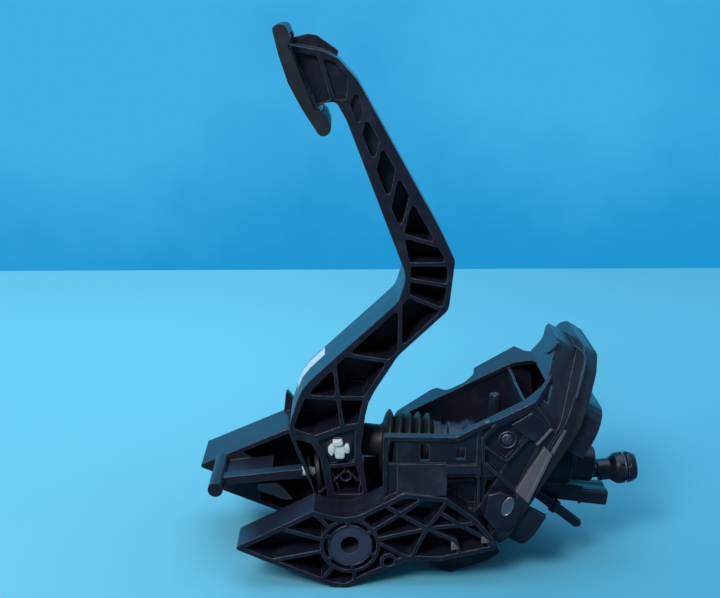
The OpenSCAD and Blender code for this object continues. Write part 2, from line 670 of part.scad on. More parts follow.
// Master cylinder, along its axis from the clevis pin
body_s = 61;
body_end = 150;
nose_end = 165.8;
nose_d = 23.4;
port_d = 4;
tower_x = 93.6;
tower_top = 79.5;
tower_d = 8.2;

module cylinder_body() color(black) difference() {
    union() {
        on_axis(0) rotate_extrude() polygon([
            [0, body_s], [15, body_s], [15, body_s + 7], [17.2, body_s + 8], [17.2, body_s + 16],
            [20, body_s + 20], [20, body_s + 25], [barrel_d / 2, body_s + 27], [barrel_d / 2, body_end],
            [nose_d / 2, body_end + 3], [nose_d / 2, nose_end - 1], [nose_d / 2 - 1, nose_end], [0, nose_end]
        ]);
        translate([tower_x, 0, axis_z(tower_x)]) cylinder(h = tower_top - axis_z(tower_x), d1 = tower_d + 5, d2 = tower_d - 1);
        on_nipple() translate([0, 0, nipple_l - 10]) cylinder(h = 20, d = nipple_d + 3.4);
    }
    on_nipple() translate([0, 0, nipple_l - 11]) cylinder(h = 11, d = nipple_d + 0.02);
    on_axis(body_s - 1) cylinder(h = body_end - body_s - 6, d = bore_d);
    on_axis(body_end - 10) cylinder(h = 20, d = port_d);
    on_axis(body_end + 8) rotate([0, 90, 0]) cylinder(h = 7.4, d = port_d);
    on_outlet(-9) cylinder(h = 20, d = port_d);
    on_outlet(-stub_seat) cylinder(h = 20, d = stub_d + 0.02);
    translate([tower_x, 0, axis_z(tower_x)]) cylinder(h = 60, d = 4);
}

// Piston, its seals and its spring
piston_s = 66;
piston_l = 30;
socket_d = 13;
land_d = bore_d - 2 * piston_gap;
groove_d = 14;
seal_w = 3;
module piston() color([0.85, 0.82, 0.7]) difference() {
    on_axis(piston_s) rotate_extrude() polygon([
        [0, 0], [land_d / 2, 0], [land_d / 2, 5], [groove_d / 2, 5], [groove_d / 2, 5 + seal_w],
        [land_d / 2, 5 + seal_w], [land_d / 2, magnet_s], [groove_d / 2, magnet_s],
        [groove_d / 2, magnet_s + magnet_l], [land_d / 2, magnet_s + magnet_l], [land_d / 2, 22], [groove_d / 2, 22], [groove_d / 2, 22 + seal_w],
        [land_d / 2, 22 + seal_w], [land_d / 2, piston_l], [0, piston_l]
    ]);
    on_axis(piston_s - 1) cylinder(h = ball_s + ball_d / 2 + 0.3 - piston_s + 1, d = socket_d);
}
module ring_seal(s) on_axis(piston_s + s + 0.1) difference() {
    cylinder(h = seal_w - 0.2, d = land_d);
    translate([0, 0, -1]) cylinder(h = seal_w + 2, d = groove_d + 0.02);
}
module front_seal() color([0.3, 0.3, 0.3]) ring_seal(22);
module rear_seal() color([0.3, 0.3, 0.3]) ring_seal(5);

spring_turns = 8;
spring_wire = 1.8;
spring_d = 12.6;
spring_l = body_end - 6 - piston_s - piston_l - 2;
function helix_point(t) = [spring_d / 2 * cos(360 * t), spring_d / 2 * sin(360 * t), t / spring_turns * (spring_l - spring_wire) + spring_wire / 2];
module piston_spring() color(steel) on_axis(piston_s + piston_l + 0.2) {
    steps = 14 * spring_turns;
    sides = 6;
    rings = [for (i = [0 : steps]) let (t = i / 14, p = helix_point(t), o = [cos(360 * t), sin(360 * t), 0])
        for (k = [0 : sides - 1]) p + spring_wire / 2 * (cos(60 * k) * o + sin(60 * k) * [0, 0, 1])];
    polyhedron(rings, concat(
        [for (i = [0 : steps - 1], k = [0 : sides - 1]) [i * sides + k, i * sides + (k + 1) % sides,
            (i + 1) * sides + (k + 1) % sides, (i + 1) * sides + k]],
        [[for (k = [sides - 1 : -1 : 0]) k], [for (k = [0 : sides - 1]) steps * sides + k]]
    ));
}

module piston_stop() color(steel) on_axis(body_s - 1.6) difference() {
    cylinder(h = 1.6, d = bore_d + 4);
    translate([0, 0, -1]) cylinder(h = 4, d = 14);
}

// Dust boot: a smooth neck on the rod, five folds and a cuff over the cylinder's end
folds = 5;
fold_s = 28;
module dust_boot() color(soft_black) {
    skin = 1.2;
    valley = 28;
    outer = concat(
        [[boot_neck_d / 2 - 1, boot_start], [boot_neck_d / 2, boot_start + 1], [boot_neck_d / 2, fold_s - 2], [valley / 2, fold_s - 1]],
        [for (k = [0 : folds - 1]) each [
            [valley / 2, fold_s + k * boot_pitch], [boot_d / 2 - 0.6, fold_s + (k + 0.3) * boot_pitch],
            [boot_d / 2, fold_s + (k + 0.45) * boot_pitch], [boot_d / 2 - 0.6, fold_s + (k + 0.6) * boot_pitch],
            [valley / 2, fold_s + (k + 0.9) * boot_pitch]
        ]],
        [[barrel_d / 2 + 1, body_s - 2.2], [barrel_d / 2 + 1, body_s + 4]]
    );
    inner = concat(
        [[15.1, body_s + 4], [15.1, body_s - 2.4]],
        [for (k = [folds - 1 : -1 : 0]) each [
            [valley / 2 - skin, fold_s + (k + 0.85) * boot_pitch], [boot_d / 2 - skin - 0.6, fold_s + (k + 0.45) * boot_pitch],
            [valley / 2 - skin, fold_s + (k + 0.05) * boot_pitch]
        ]],
        [[rod_d / 2 + 4, fold_s - 3], [rod_d / 2 + 4, boot_start + 4], [rod_d / 2 + 0.3, boot_start + 4], [rod_d / 2 + 0.3, boot_start]]
    );
    on_axis(0) rotate_extrude() polygon(concat(outer, inner));
}

module inlet_cap() color([0.8, 0.8, 0.78]) translate([tower_x, 0, tower_top]) {
    cylinder(h = 2.2, d = tower_d - 1);
    translate([0, 0, -5]) cylinder(h = 5, d = 3.9);
}

// Fittings on the bulkhead side
sensor_w = 20;
sensor_deep = 24.4;
sensor_start = 116;
sensor_end = 177.7;
module position_sensor() color(black) on_axis(0) difference() {
    union() {
        translate([11, -sensor_w / 2, sensor_start]) cube([sensor_deep - 12, sensor_w, sensor_end - sensor_start - 17]);
        translate([sensor_deep - 9.4, 0, sensor_end - 18]) linear_extrude(18) polygon(rounded([
            [0, -sensor_w / 2, 2], [9.4, -sensor_w / 2, 1.5], [9.4, sensor_w / 2, 1.5], [0, sensor_w / 2, 2]
        ]));
        translate([sensor_deep - 0.8, -sensor_w / 2 - 0.3, sensor_end - 18.6]) cube([1, sensor_w + 0.6, 2]);
    }
    cylinder(h = 300, d = barrel_d + 0.02);
    translate([sensor_deep - 7.4, -sensor_w / 2 + 2, sensor_end - 11]) cube([5.4, sensor_w - 4, 14]);
}
magnet_s = 11;
magnet_l = 8;
module sensor_magnet() color([0.3, 0.3, 0.32]) on_axis(piston_s + magnet_s) difference() {
    cylinder(h = magnet_l, d = land_d - 0.6);
    translate([0, 0, -1]) cylinder(h = magnet_l + 2, d = groove_d);
}

nipple_end = [149, -3.5];
nipple_y = -15;
nipple_lean = 38.5;
nipple_l = 50;
nipple_d = 6.4;
module on_nipple() translate([nipple_end.x, nipple_y, nipple_end.y]) rotate([0, nipple_lean - 90, 0]) children();
module supply_nipple() color(black) on_nipple() rotate_extrude() polygon([
    [1.6, 0], [nipple_d / 2 - 1.4, 0], [nipple_d / 2, 2], [nipple_d / 2, 20], [nipple_d / 2 + 1.2, 20],
    [nipple_d / 2 + 1.2, 23], [nipple_d / 2, 23], [nipple_d / 2, nipple_l], [1.6, nipple_l]
]);

// Outlet: a stub in the cylinder's nose, turned up from the cylinder's axis, with a quick coupling on it
stub_d = 9.4;
stub_seat = 3;
outlet_drop = 5.2;
outlet_tilt = 13;
coupling_start = 4.8;
coupling_d = 14;
collar_start = 12.8;
collar_l = 17;
collar_d = 20.4;
plug_bore = 9.6;
module on_outlet(d) on_axis(nose_end) translate([outlet_drop, 0, 0]) rotate([0, -outlet_tilt, 0])
    translate([0, 0, d]) children();
module outlet_stub() color(black) difference() {
    union() {
        on_outlet(-stub_seat) cylinder(h = stub_seat + coupling_start, d = stub_d);
        on_outlet(coupling_start) cylinder(h = collar_start - coupling_start, d = coupling_d);
    }
    on_outlet(-stub_seat - 1) cylinder(h = 40, d = port_d);
    on_outlet(collar_start - 6) cylinder(h = 10, d = 9);
}
ring_wire = 1.8;
module coupling_ring() color([0.15, 0.3, 0.2]) on_outlet(collar_start - 4)
    rotate_extrude() translate([4.5 - ring_wire / 2, 0]) circle(d = ring_wire, $fn = 24);
clip_s = 8.6;
clip_wire = 1.6;
module coupling_collar() color(soft_black) on_outlet(collar_start) difference() {
    rotate_extrude() polygon([
        [plug_bore / 2, 0], [7.5, 0], [collar_d / 2 - 0.3, 3.4], [collar_d / 2, 5.4], [collar_d / 2, clip_s],
        [7.4, clip_s], [7.4, clip_s + 2.2], [collar_d / 2, clip_s + 2.2], [collar_d / 2 - 0.2, 12.4],
        [collar_d / 2 - 1.2, 14.8], [8, 16.6], [7, collar_l], [plug_bore / 2, collar_l]
    ]);
    // Pockets round the clip groove that a release tool enters
    for (a = [0 : 60 : 300]) rotate(a) translate([7.4, -1.2, clip_s - 2]) cube([6, 2.4, 6]);
}
module coupling_clip() color(steel) on_outlet(collar_start + clip_s + 1.1) rotate(60)
    rotate_extrude(angle = 300) translate([7.4 + clip_wire / 2, 0]) circle(d = clip_wire, $fn = 16);

pedal_bracket();
bulkhead_seal();
compression_sleeves();
pivot_pin();
stop_plug();
pocket_screws();
cylinder_body();
piston();
front_seal();
rear_seal();
piston_spring();
piston_stop();
dust_boot();
inlet_cap();
supply_nipple();
position_sensor();
sensor_magnet();
outlet_stub();
coupling_collar();
coupling_clip();
coupling_ring();
pedal_arm();
near_bush();
far_bush();
pad_cover();
rest_bumper();
clevis_pin();
arm_label();
pushrod();
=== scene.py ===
"""Looks for the clutch pedal: finishes, fine pieces, floor, lights and camera.

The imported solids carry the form. This script dresses each of them in its own finish and adds the
fine pieces that the solids leave out. Everything is in metres, in the frame of the solids.
"""
from __future__ import annotations

import json
import logging
import math
from dataclasses import dataclass, field
from enum import Enum
from typing import Any, Callable, Sequence, Union

import bmesh
import bpy
from mathutils import Matrix, Vector

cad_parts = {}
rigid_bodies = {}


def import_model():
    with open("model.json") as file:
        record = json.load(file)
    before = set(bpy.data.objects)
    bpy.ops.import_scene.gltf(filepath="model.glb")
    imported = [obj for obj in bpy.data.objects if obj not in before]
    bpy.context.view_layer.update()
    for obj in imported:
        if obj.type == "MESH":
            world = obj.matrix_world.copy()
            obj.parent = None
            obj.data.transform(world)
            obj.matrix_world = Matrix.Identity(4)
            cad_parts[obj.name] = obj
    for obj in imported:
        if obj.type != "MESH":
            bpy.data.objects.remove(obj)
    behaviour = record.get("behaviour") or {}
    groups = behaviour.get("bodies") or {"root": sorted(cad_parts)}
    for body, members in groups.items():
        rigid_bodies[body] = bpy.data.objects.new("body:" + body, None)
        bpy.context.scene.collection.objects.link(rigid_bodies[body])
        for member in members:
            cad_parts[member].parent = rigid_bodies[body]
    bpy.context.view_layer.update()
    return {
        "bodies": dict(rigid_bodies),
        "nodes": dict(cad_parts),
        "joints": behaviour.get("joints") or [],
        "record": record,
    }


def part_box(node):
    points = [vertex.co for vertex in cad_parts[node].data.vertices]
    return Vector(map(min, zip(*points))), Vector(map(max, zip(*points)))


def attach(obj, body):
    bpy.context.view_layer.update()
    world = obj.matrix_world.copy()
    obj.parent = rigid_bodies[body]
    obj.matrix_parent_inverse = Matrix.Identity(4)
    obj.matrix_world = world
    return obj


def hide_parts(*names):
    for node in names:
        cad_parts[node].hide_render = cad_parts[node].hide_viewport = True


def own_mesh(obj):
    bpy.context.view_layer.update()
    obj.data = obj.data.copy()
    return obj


log = logging.getLogger("pedal")

MM = 0.001
Number = Union[int, float]
Point = Sequence[float]
Colour = tuple[float, float, float]
Outline = Sequence[tuple[float, float]]

# The angle in degrees from which the edges of small pieces stay sharp
SHARP = 35.0
# Middle of the pushrod's pin, along X and Z in millimetres
PIN = (-6.6, 53.0)
# How far the flange leans back, and the plane across it: width, height up its slope, depth
LEAN = math.radians(29)
FLANGE = Matrix(
    (
        (0, math.sin(LEAN), math.cos(LEAN), 96.4),
        (1, 0, 0, 0),
        (0, math.cos(LEAN), -math.sin(LEAN), 1.1),
        (0, 0, 0, 1),
    )
)
# The plane that the camera faces: X, Z and depth along Y
SIDE = Matrix(((1, 0, 0, 0), (0, 0, 1, 0), (0, 1, 0, 0), (0, 0, 0, 1)))
# The plane across the trough: Y, Z and depth along X
ACROSS = Matrix(((0, 0, 1, 0), (1, 0, 0, 0), (0, 1, 0, 0), (0, 0, 0, 1)))


class Body(Enum):
    """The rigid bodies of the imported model."""

    BRACKET = "bracket"
    PEDAL = "pedal"
    ROD = "rod"
    PISTON = "piston"


class Slot(Enum):
    """The record's finishes, and a pale look of bare trim that is partly abrasion and partly painted
    highlight.
    """

    MOULDED = "moulded_black"
    SOFT = "soft_black"
    RUBBER = "rubber"
    NYLON = "white_nylon"
    NATURAL = "natural_plastic"
    LABEL = "label"
    ZINC = "zinc_steel"
    DARK = "dark_steel"
    MAGNET = "magnet"
    RUBBED_AND_HIGHLIGHT = "rubbed"

    @property
    def recorded(self) -> str:
        """The slot's name in the record: the pale pieces with painted highlight are of the same moulding."""
        return Slot.MOULDED.value if self is Slot.RUBBED_AND_HIGHLIGHT else self.value


# Shader maths


class Value:
    """A number that varies over a surface, written as plain Python maths."""

    def __init__(self, shader: "Shader", socket: bpy.types.NodeSocket) -> None:
        """Wraps an output socket of the shader's tree."""
        self.shader = shader
        self.socket = socket

    def _math(self, operation: str, *others: Union["Value", Number], clamp: bool = False) -> "Value":
        """Adds one Math node.

        Args:
            operation: The node's operation.
            others: The further operands.
            clamp: Whether the result stays between 0 and 1.

        Returns:
            The node's result.
        """
        values = {i: v for i, v in enumerate((self, *others))}
        return self.shader.value("ShaderNodeMath", {"operation": operation, "use_clamp": clamp}, values)

    def _swapped(self, operation: str, other: Number) -> "Value":
        """Adds one Math node with a plain number as its first operand."""
        return self.shader.value("ShaderNodeMath", {"operation": operation}, {0: other, 1: self})

    def __add__(self, other: Union["Value", Number]) -> "Value":
        """Sum."""
        return self._math("ADD", other)

    __radd__ = __add__

    def __sub__(self, other: Union["Value", Number]) -> "Value":
        """Difference."""
        return self._math("SUBTRACT", other)

    def __rsub__(self, other: Number) -> "Value":
        """Difference from a plain number."""
        return self._swapped("SUBTRACT", other)

    def __mul__(self, other: Union["Value", Number]) -> "Value":
        """Product."""
        return self._math("MULTIPLY", other)

    __rmul__ = __mul__

    def clamped(self) -> "Value":
        """The value, kept between 0 and 1."""
        return self._math("ADD", 0.0, clamp=True)

    def most(self, other: Union["Value", Number]) -> "Value":
        """The larger of two values."""
        return self._math("MAXIMUM", other)

    def step(self, low: float, high: float) -> "Value":
        """A smooth step.

        Args:
            low: Where the result is 0.
            high: Where the result is 1.

        Returns:
            The stepped value.
        """
        return self.shader.value(
            "ShaderNodeMapRange",
            {"interpolation_type": "SMOOTHSTEP"},
            {"Value": self, "From Min": low, "From Max": high, "To Min": 0.0, "To Max": 1.0},
        )


class Shader:
    """One procedural material, or the world, under construction."""

    def __init__(self, name: str, world: bpy.types.World | None = None) -> None:
        """Starts an empty material with that name, or empties the world's own nodes."""
        self.material: Any = world or bpy.data.materials.new(name)
        self.material.use_nodes = True
        self.tree = self.material.node_tree
        self.tree.nodes.clear()
        self.place = self.node("ShaderNodeTexCoord").outputs["Object"]

    def node(
        self, kind: str, settings: dict[str, Any] | None = None, values: dict[Any, Any] | None = None
    ) -> bpy.types.Node:
        """Adds a node.

        Args:
            kind: The node's type.
            settings: Its properties, which are set first.
            values: A plain value or a link for each named or numbered input.

        Returns:
            The node.
        """
        made = self.tree.nodes.new(kind)
        for key, setting in (settings or {}).items():
            setattr(made, key, setting)
        for key, value in (values or {}).items():
            socket = made.inputs[key]
            if isinstance(value, Value):
                value = value.socket
            if isinstance(value, bpy.types.NodeSocket):
                self.tree.links.new(value, socket)
            else:
                socket.default_value = value
        return made

    def value(self, kind: str, settings: dict[str, Any], values: dict[Any, Any], output: Any = 0) -> Value:
        """Adds a node and returns one of its outputs as a value."""
        return Value(self, self.node(kind, settings, values).outputs[output])

    def stretched(self, scale: Point) -> bpy.types.NodeSocket:
        """The place on the piece, scaled along each axis."""
        return self.node("ShaderNodeMapping", None, {"Vector": self.place, "Scale": scale}).outputs[0]

    def noise(self, scale: float, detail: float = 2.0, rough: float = 0.5, where: Any = None) -> Value:
        """Soft noise.

        Args:
            scale: Its frequency, per metre.
            detail: Its octaves.
            rough: How strong the fine octaves are.
            where: The coordinates it reads, or the place on the piece.

        Returns:
            The noise, from 0 to 1.
        """
        place = self.place if where is None else where
        values = {"Vector": place, "Scale": scale, "Detail": detail, "Roughness": rough}
        return self.value("ShaderNodeTexNoise", {"noise_dimensions": "3D"}, values)

    def edge(self, radius: float) -> Value:
        """How close the surface is to a sharp edge: 0 on a flat and up to about 1 on the edge."""
        soft = self.soft_normal(radius)
        true = self.node("ShaderNodeNewGeometry").outputs["Normal"]
        dot = self.value("ShaderNodeVectorMath", {"operation": "DOT_PRODUCT"}, {0: soft, 1: true}, "Value")
        return ((1.0 - dot) * 4.0).clamped()

    def soft_normal(self, radius: float) -> bpy.types.NodeSocket:
        """The surface's normal with its edges rounded off."""
        return self.node("ShaderNodeBevel", {"samples": 4}, {"Radius": radius}).outputs[0]

    def blend(self, share: Any, first: Any, second: Any) -> bpy.types.NodeSocket:
        """A colour between two colours.

        Args:
            share: How much of the second shows.
            first: A colour or a link.
            second: A colour or a link.

        Returns:
            The mixed colour.
        """
        one, two = ((*c, 1.0) if isinstance(c, tuple) else c for c in (first, second))
        return self.node("ShaderNodeMix", {"data_type": "RGBA"}, {0: share, 6: one, 7: two}).outputs[2]

    def bumped(self, height: Value, depth: float, normal: Any, strength: float) -> bpy.types.NodeSocket:
        """A normal with fine relief.

        Args:
            height: The relief, from 0 to 1.
            depth: Its full depth in metres.
            normal: The normal that it starts from.
            strength: How much of it shows.

        Returns:
            The normal.
        """
        values = {"Height": height, "Distance": depth, "Strength": strength, "Normal": normal}
        return self.node("ShaderNodeBump", None, values).outputs[0]

    def finish(self, **values: Any) -> bpy.types.Material:
        """Closes the material with a surface shader whose sockets hold these values."""
        named = {key.replace("_", " ").title().replace("Ior", "IOR"): value for key, value in values.items()}
        surface = self.node("ShaderNodeBsdfPrincipled", None, named)
        output = self.node("ShaderNodeOutputMaterial")
        self.tree.links.new(surface.outputs[0], output.inputs[0])
        return self.material


@dataclass(frozen=True)
class MouldedPlastic:
    """Glass-filled moulded plastic: fine grain, faint flow marks, pale edges that are partly abrasion and
    partly painted highlight, and a little dust.
    """

    name: str
    colour: Colour = (0.0084, 0.0088, 0.0185)
    # Colour of the edges: partly abrasion, partly a painted highlight of light caught on the edges
    worn_and_highlight: Colour = (0.170, 0.185, 0.230)
    dust: Colour = (0.072, 0.082, 0.120)
    roughness: float = 0.36
    grain: float = 2300.0
    grain_depth: float = 0.00005
    flow_depth: float = 0.0002
    edge: float = 0.0007
    # How strongly the edges take that colour, painted highlight included
    wear_and_highlight: float = 0.85
    ior: float = 1.48

    def make(self) -> bpy.types.Material:
        """Builds the material."""
        s = Shader(self.name)
        cloud = s.noise(34.0, 3.0, 0.6)
        flow = s.noise(110.0, 3.0, 0.6, s.stretched((1.0, 1.0, 0.25)))
        scuff = s.noise(520.0, 4.0, 0.7, s.stretched((1.0, 1.0, 0.35))).step(0.60, 0.74)
        rim = s.edge(self.edge)
        # Edge mask: pale edges, partly abrasion and partly painted highlight
        rubbed = rim * (s.noise(240.0, 3.0).step(0.34, 0.66) * 0.75 + 0.25) * self.wear_and_highlight
        specks = s.noise(1700.0, 1.0).step(0.69, 0.74)
        dusty = s.noise(64.0, 4.0, 0.65).step(0.50, 0.78) * 0.16 + scuff * 0.10 + specks * 0.22
        base = s.blend(cloud, tuple(c * 0.75 for c in self.colour), tuple(c * 1.3 for c in self.colour))
        base = s.blend(dusty.clamped(), base, self.dust)
        base = s.blend(rubbed.clamped(), base, self.worn_and_highlight)
        rough = cloud * 0.18 + flow * 0.12 + self.roughness - 0.14 + dusty * 0.5 - rubbed * 0.10
        normal = s.bumped(s.noise(self.grain, 2.0, 0.6), self.grain_depth, s.soft_normal(self.edge), 0.45)
        normal = s.bumped(flow, self.flow_depth, normal, 0.25)
        return s.finish(base_color=base, roughness=rough.clamped(), normal=normal, ior=self.ior)


@dataclass(frozen=True)
class Rubber:
    """Moulded rubber: matt, with a fine pebble and paler handling marks."""

    name: str
    colour: Colour = (0.0105, 0.0112, 0.0145)
    dust: Colour = (0.07, 0.075, 0.08)
    roughness: float = 0.50
    edge: float = 0.0008
    ior: float = 1.45

    def make(self) -> bpy.types.Material:
        """Builds the material."""
        s = Shader(self.name)
        marks = s.noise(55.0, 4.0, 0.6).step(0.45, 0.8)
        base = s.blend(marks * 0.4, self.colour, tuple(c * 2.2 for c in self.colour))
        base = s.blend(s.noise(900.0, 2.0).step(0.62, 0.74) * 0.12, base, self.dust)
        rough = marks * 0.14 + self.roughness
        normal = s.bumped(s.noise(1900.0, 2.0, 0.5), 0.00005, s.soft_normal(self.edge), 0.6)
        return s.finish(base_color=base, roughness=rough.clamped(), normal=normal, ior=self.ior)


@dataclass(frozen=True)
class Nylon:
    """Uncoloured nylon: milky, faintly uneven, a little grey in its corners."""

    name: str
    colour: Colour = (0.62, 0.60, 0.54)
    grime: Colour = (0.17, 0.165, 0.15)
    roughness: float = 0.38
    edge: float = 0.0004

    def make(self) -> bpy.types.Material:
        """Builds the material."""
        s = Shader(self.name)
        rim = s.edge(self.edge)
        patches = s.noise(90.0, 3.0).step(0.45, 0.8)
        grime = s.noise(420.0, 3.0).step(0.42, 0.8) * 0.35 + patches * 0.25 + rim * 0.2
        base = s.blend(grime.clamped(), self.colour, self.grime)
        normal = s.bumped(s.noise(1400.0, 2.0), 0.00004, s.soft_normal(self.edge), 0.4)
        return s.finish(base_color=base, roughness=self.roughness, normal=normal)


@dataclass(frozen=True)
class Metal:
    """Plated or coated steel with turning marks and stains."""

    name: str
    colour: Colour = (0.55, 0.56, 0.58)
    stain: Colour = (0.24, 0.25, 0.27)
    roughness: float = 0.32
    edge: float = 0.0003

    def make(self) -> bpy.types.Material:
        """Builds the material."""
        s = Shader(self.name)
        stains = s.noise(310.0, 4.0, 0.6).step(0.4, 0.75)
        fine = s.noise(2400.0, 2.0)
        base = s.blend(stains * 0.6, self.colour, self.stain)
        rough = stains * 0.22 + fine * 0.12 + self.roughness - 0.06
        normal = s.bumped(fine, 0.00003, s.soft_normal(self.edge), 0.4)
        return s.finish(base_color=base, roughness=rough.clamped(), metallic=1.0, normal=normal)


@dataclass(frozen=True)
class Paper:
    """A bare sticker: smooth face, scuffed and slightly grey."""

    name: str
    colour: Colour = (0.56, 0.66, 0.72)
    scuffed: Colour = (0.36, 0.43, 0.48)
    edge: float = 0.0002

    def make(self) -> bpy.types.Material:
        """Builds the material."""
        s = Shader(self.name)
        scuff = s.noise(240.0, 5.0, 0.7).step(0.5, 0.72) * 0.35
        base = s.blend(scuff, self.colour, self.scuffed)
        normal = s.bumped(s.noise(300.0, 3.0), 0.00006, s.soft_normal(self.edge), 0.3)
        return s.finish(base_color=base, roughness=0.5, normal=normal)


@dataclass(frozen=True)
class Backdrop:
    """The plain floor: one pale colour with painted light falloff, a little deeper towards the right
    and towards the camera.

    Reflections see its near part dark, a painted reflection of the room on that side, which is dark.
    """

    name: str
    left: Colour
    right: Colour
    # Colour of the painted light at the back of the floor
    far: Colour = (0.20, 0.71, 0.855)
    far_painted_light_share: float = 0.45
    unlit: Colour = (0.01, 0.02, 0.04)
    unlit_share: float = 0.8

    def make(self) -> bpy.types.Material:
        """Builds the material."""
        s = Shader(self.name)
        parts = s.node("ShaderNodeSeparateXYZ", None, {0: s.place})
        across, ahead = (Value(s, parts.outputs[i]) for i in range(2))
        glossy = Value(s, s.node("ShaderNodeLightPath").outputs["Is Glossy Ray"])
        # Painted light falloff: lighter on the left, darker to the right, in soft patches
        share = across.step(-0.25, 0.45) + s.noise(2.2, 2.0) * 0.2 - 0.1
        base = s.blend(share.clamped(), self.left, self.right)
        # Painted light falloff: lighter towards the back, darker towards the camera
        base = s.blend(ahead.step(-0.12, 0.50) * self.far_painted_light_share, base, self.far)
        # Painted dark reflection, seen only by reflections of the near floor
        base = s.blend(ahead.step(0.12, -0.04) * glossy * self.unlit_share, base, self.unlit)
        return s.finish(base_color=base, roughness=0.7, specular_ior_level=0.0)


# Geometry


def solid(
    name: str, build: Callable[[bmesh.types.BMesh], None], sharp: float | None = None
) -> bpy.types.Object:
    """Makes a mesh object.

    Args:
        name: The piece's name.
        build: Fills the empty mesh, in metres.
        sharp: The angle in degrees from which an edge stays sharp, or none for a flat look.

    Returns:
        The object, with its normals outwards.
    """
    bm = bmesh.new()
    build(bm)
    bmesh.ops.recalc_face_normals(bm, faces=bm.faces)
    mesh = bpy.data.meshes.new(name)
    bm.to_mesh(mesh)
    bm.free()
    made = bpy.data.objects.new(name, mesh)
    bpy.context.scene.collection.objects.link(made)
    if sharp is not None:
        smooth(made, sharp)
    return made


def lathe(bm: bmesh.types.BMesh, profile: Outline, place: Matrix, steps: int = 96) -> None:
    """Turns a closed profile round an axis and merges what meets on it.

    Args:
        bm: The mesh to add to.
        profile: Radius and distance along the axis, in millimetres, round the section.
        place: Where the axis lies.
        steps: Facets round the axis.
    """
    rings = []
    for i in range(steps):
        a = math.tau * i / steps
        points = [(r * MM * math.cos(a), r * MM * math.sin(a), z * MM) for r, z in profile]
        rings.append([bm.verts.new(place @ Vector(point)) for point in points])
    count = len(profile)
    for i in range(steps):
        one, two = rings[i], rings[(i + 1) % steps]
        for k in range(count):
            unique: list[bmesh.types.BMVert] = []
            for v in (one[k], two[k], two[(k + 1) % count], one[(k + 1) % count]):
                if all((v.co - w.co).length > 1e-8 for w in unique):
                    unique.append(v)
            if len(unique) >= 3:
                bm.faces.new(unique)
    bmesh.ops.remove_doubles(bm, verts=[v for ring in rings for v in ring], dist=1e-6)


def arc(
    start: tuple[float, float], end: tuple[float, float], bulge: float, steps: int = 6
) -> list[tuple[float, float]]:
    """Points on a curved line between two profile points.

    Args:
        start: The first point.
        end: The last point.
        bulge: How far the middle stands off the straight line.
        steps: How many points follow the first.

    Returns:
        The points after the first one.
    """
    (r0, z0), (r1, z1) = start, end
    length = math.hypot(r1 - r0, z1 - z0)
    nr, nz = (z1 - z0) / length, -(r1 - r0) / length
    points = []
    for i in range(1, steps + 1):
        t = i / steps
        off = bulge * 4 * t * (1 - t)
        points.append((r0 + (r1 - r0) * t + nr * off, z0 + (z1 - z0) * t + nz * off))
    return points


def smooth(piece: bpy.types.Object, angle: float) -> None:
    """Shades a piece smooth, apart from its sharp edges."""
    piece.data.polygons.foreach_set("use_smooth", [True] * len(piece.data.polygons))
    bm = bmesh.new()
    bm.from_mesh(piece.data)
    for e in bm.edges:
        e.smooth = len(e.link_faces) == 2 and e.calc_face_angle(0.0) < math.radians(angle)
    bm.to_mesh(piece.data)
    bm.free()


def dress(piece: bpy.types.Object, material: bpy.types.Material) -> None:
    """Gives a piece one material."""
    piece.data.materials.clear()
    piece.data.materials.append(material)


def plate(
    bm: bmesh.types.BMesh, outline: Outline, low: float, high: float, edge: float, place: Matrix = SIDE
) -> None:
    """Adds a flat plate whose front edge is rounded off.

    Args:
        bm: The mesh to add to.
        outline: Its corners in the plane, in millimetres.
        low: The depth of its back face.
        high: The depth of its front face.
        edge: The size of its rounded edge.
        place: The plane that it lies in.
    """
    back = [bm.verts.new((place @ Vector((a, b, low))) * MM) for a, b in outline]
    front = [bm.verts.new((place @ Vector((a, b, high))) * MM) for a, b in outline]
    bm.faces.new(back)
    face = bm.faces.new(front)
    count = len(outline)
    for k in range(count):
        bm.faces.new((back[k], back[(k + 1) % count], front[(k + 1) % count], front[k]))
    rim = list(face.edges)
    bmesh.ops.bevel(bm, geom=rim, offset=edge * MM, segments=3, profile=0.5, affect="EDGES")


def ribbon(path: Outline, width: float) -> list[tuple[float, float]]:
    """The outline of a band of even width along a line."""
    left, right = [], []
    for k, (x, y) in enumerate(path):
        (x0, y0), (x1, y1) = path[max(k - 1, 0)], path[min(k + 1, len(path) - 1)]
        length = math.hypot(x1 - x0, y1 - y0)
        nx, ny = -(y1 - y0) / length * width / 2, (x1 - x0) / length * width / 2
        left.append((x + nx, y + ny))
        right.append((x - nx, y - ny))
    return left + right[::-1]


def around(x: float, z: float, y: float) -> Matrix:
    """An axis along the part's width, through that point."""
    return Matrix.Translation((x * MM, y * MM, z * MM)) @ Matrix.Rotation(math.radians(90), 4, "X")


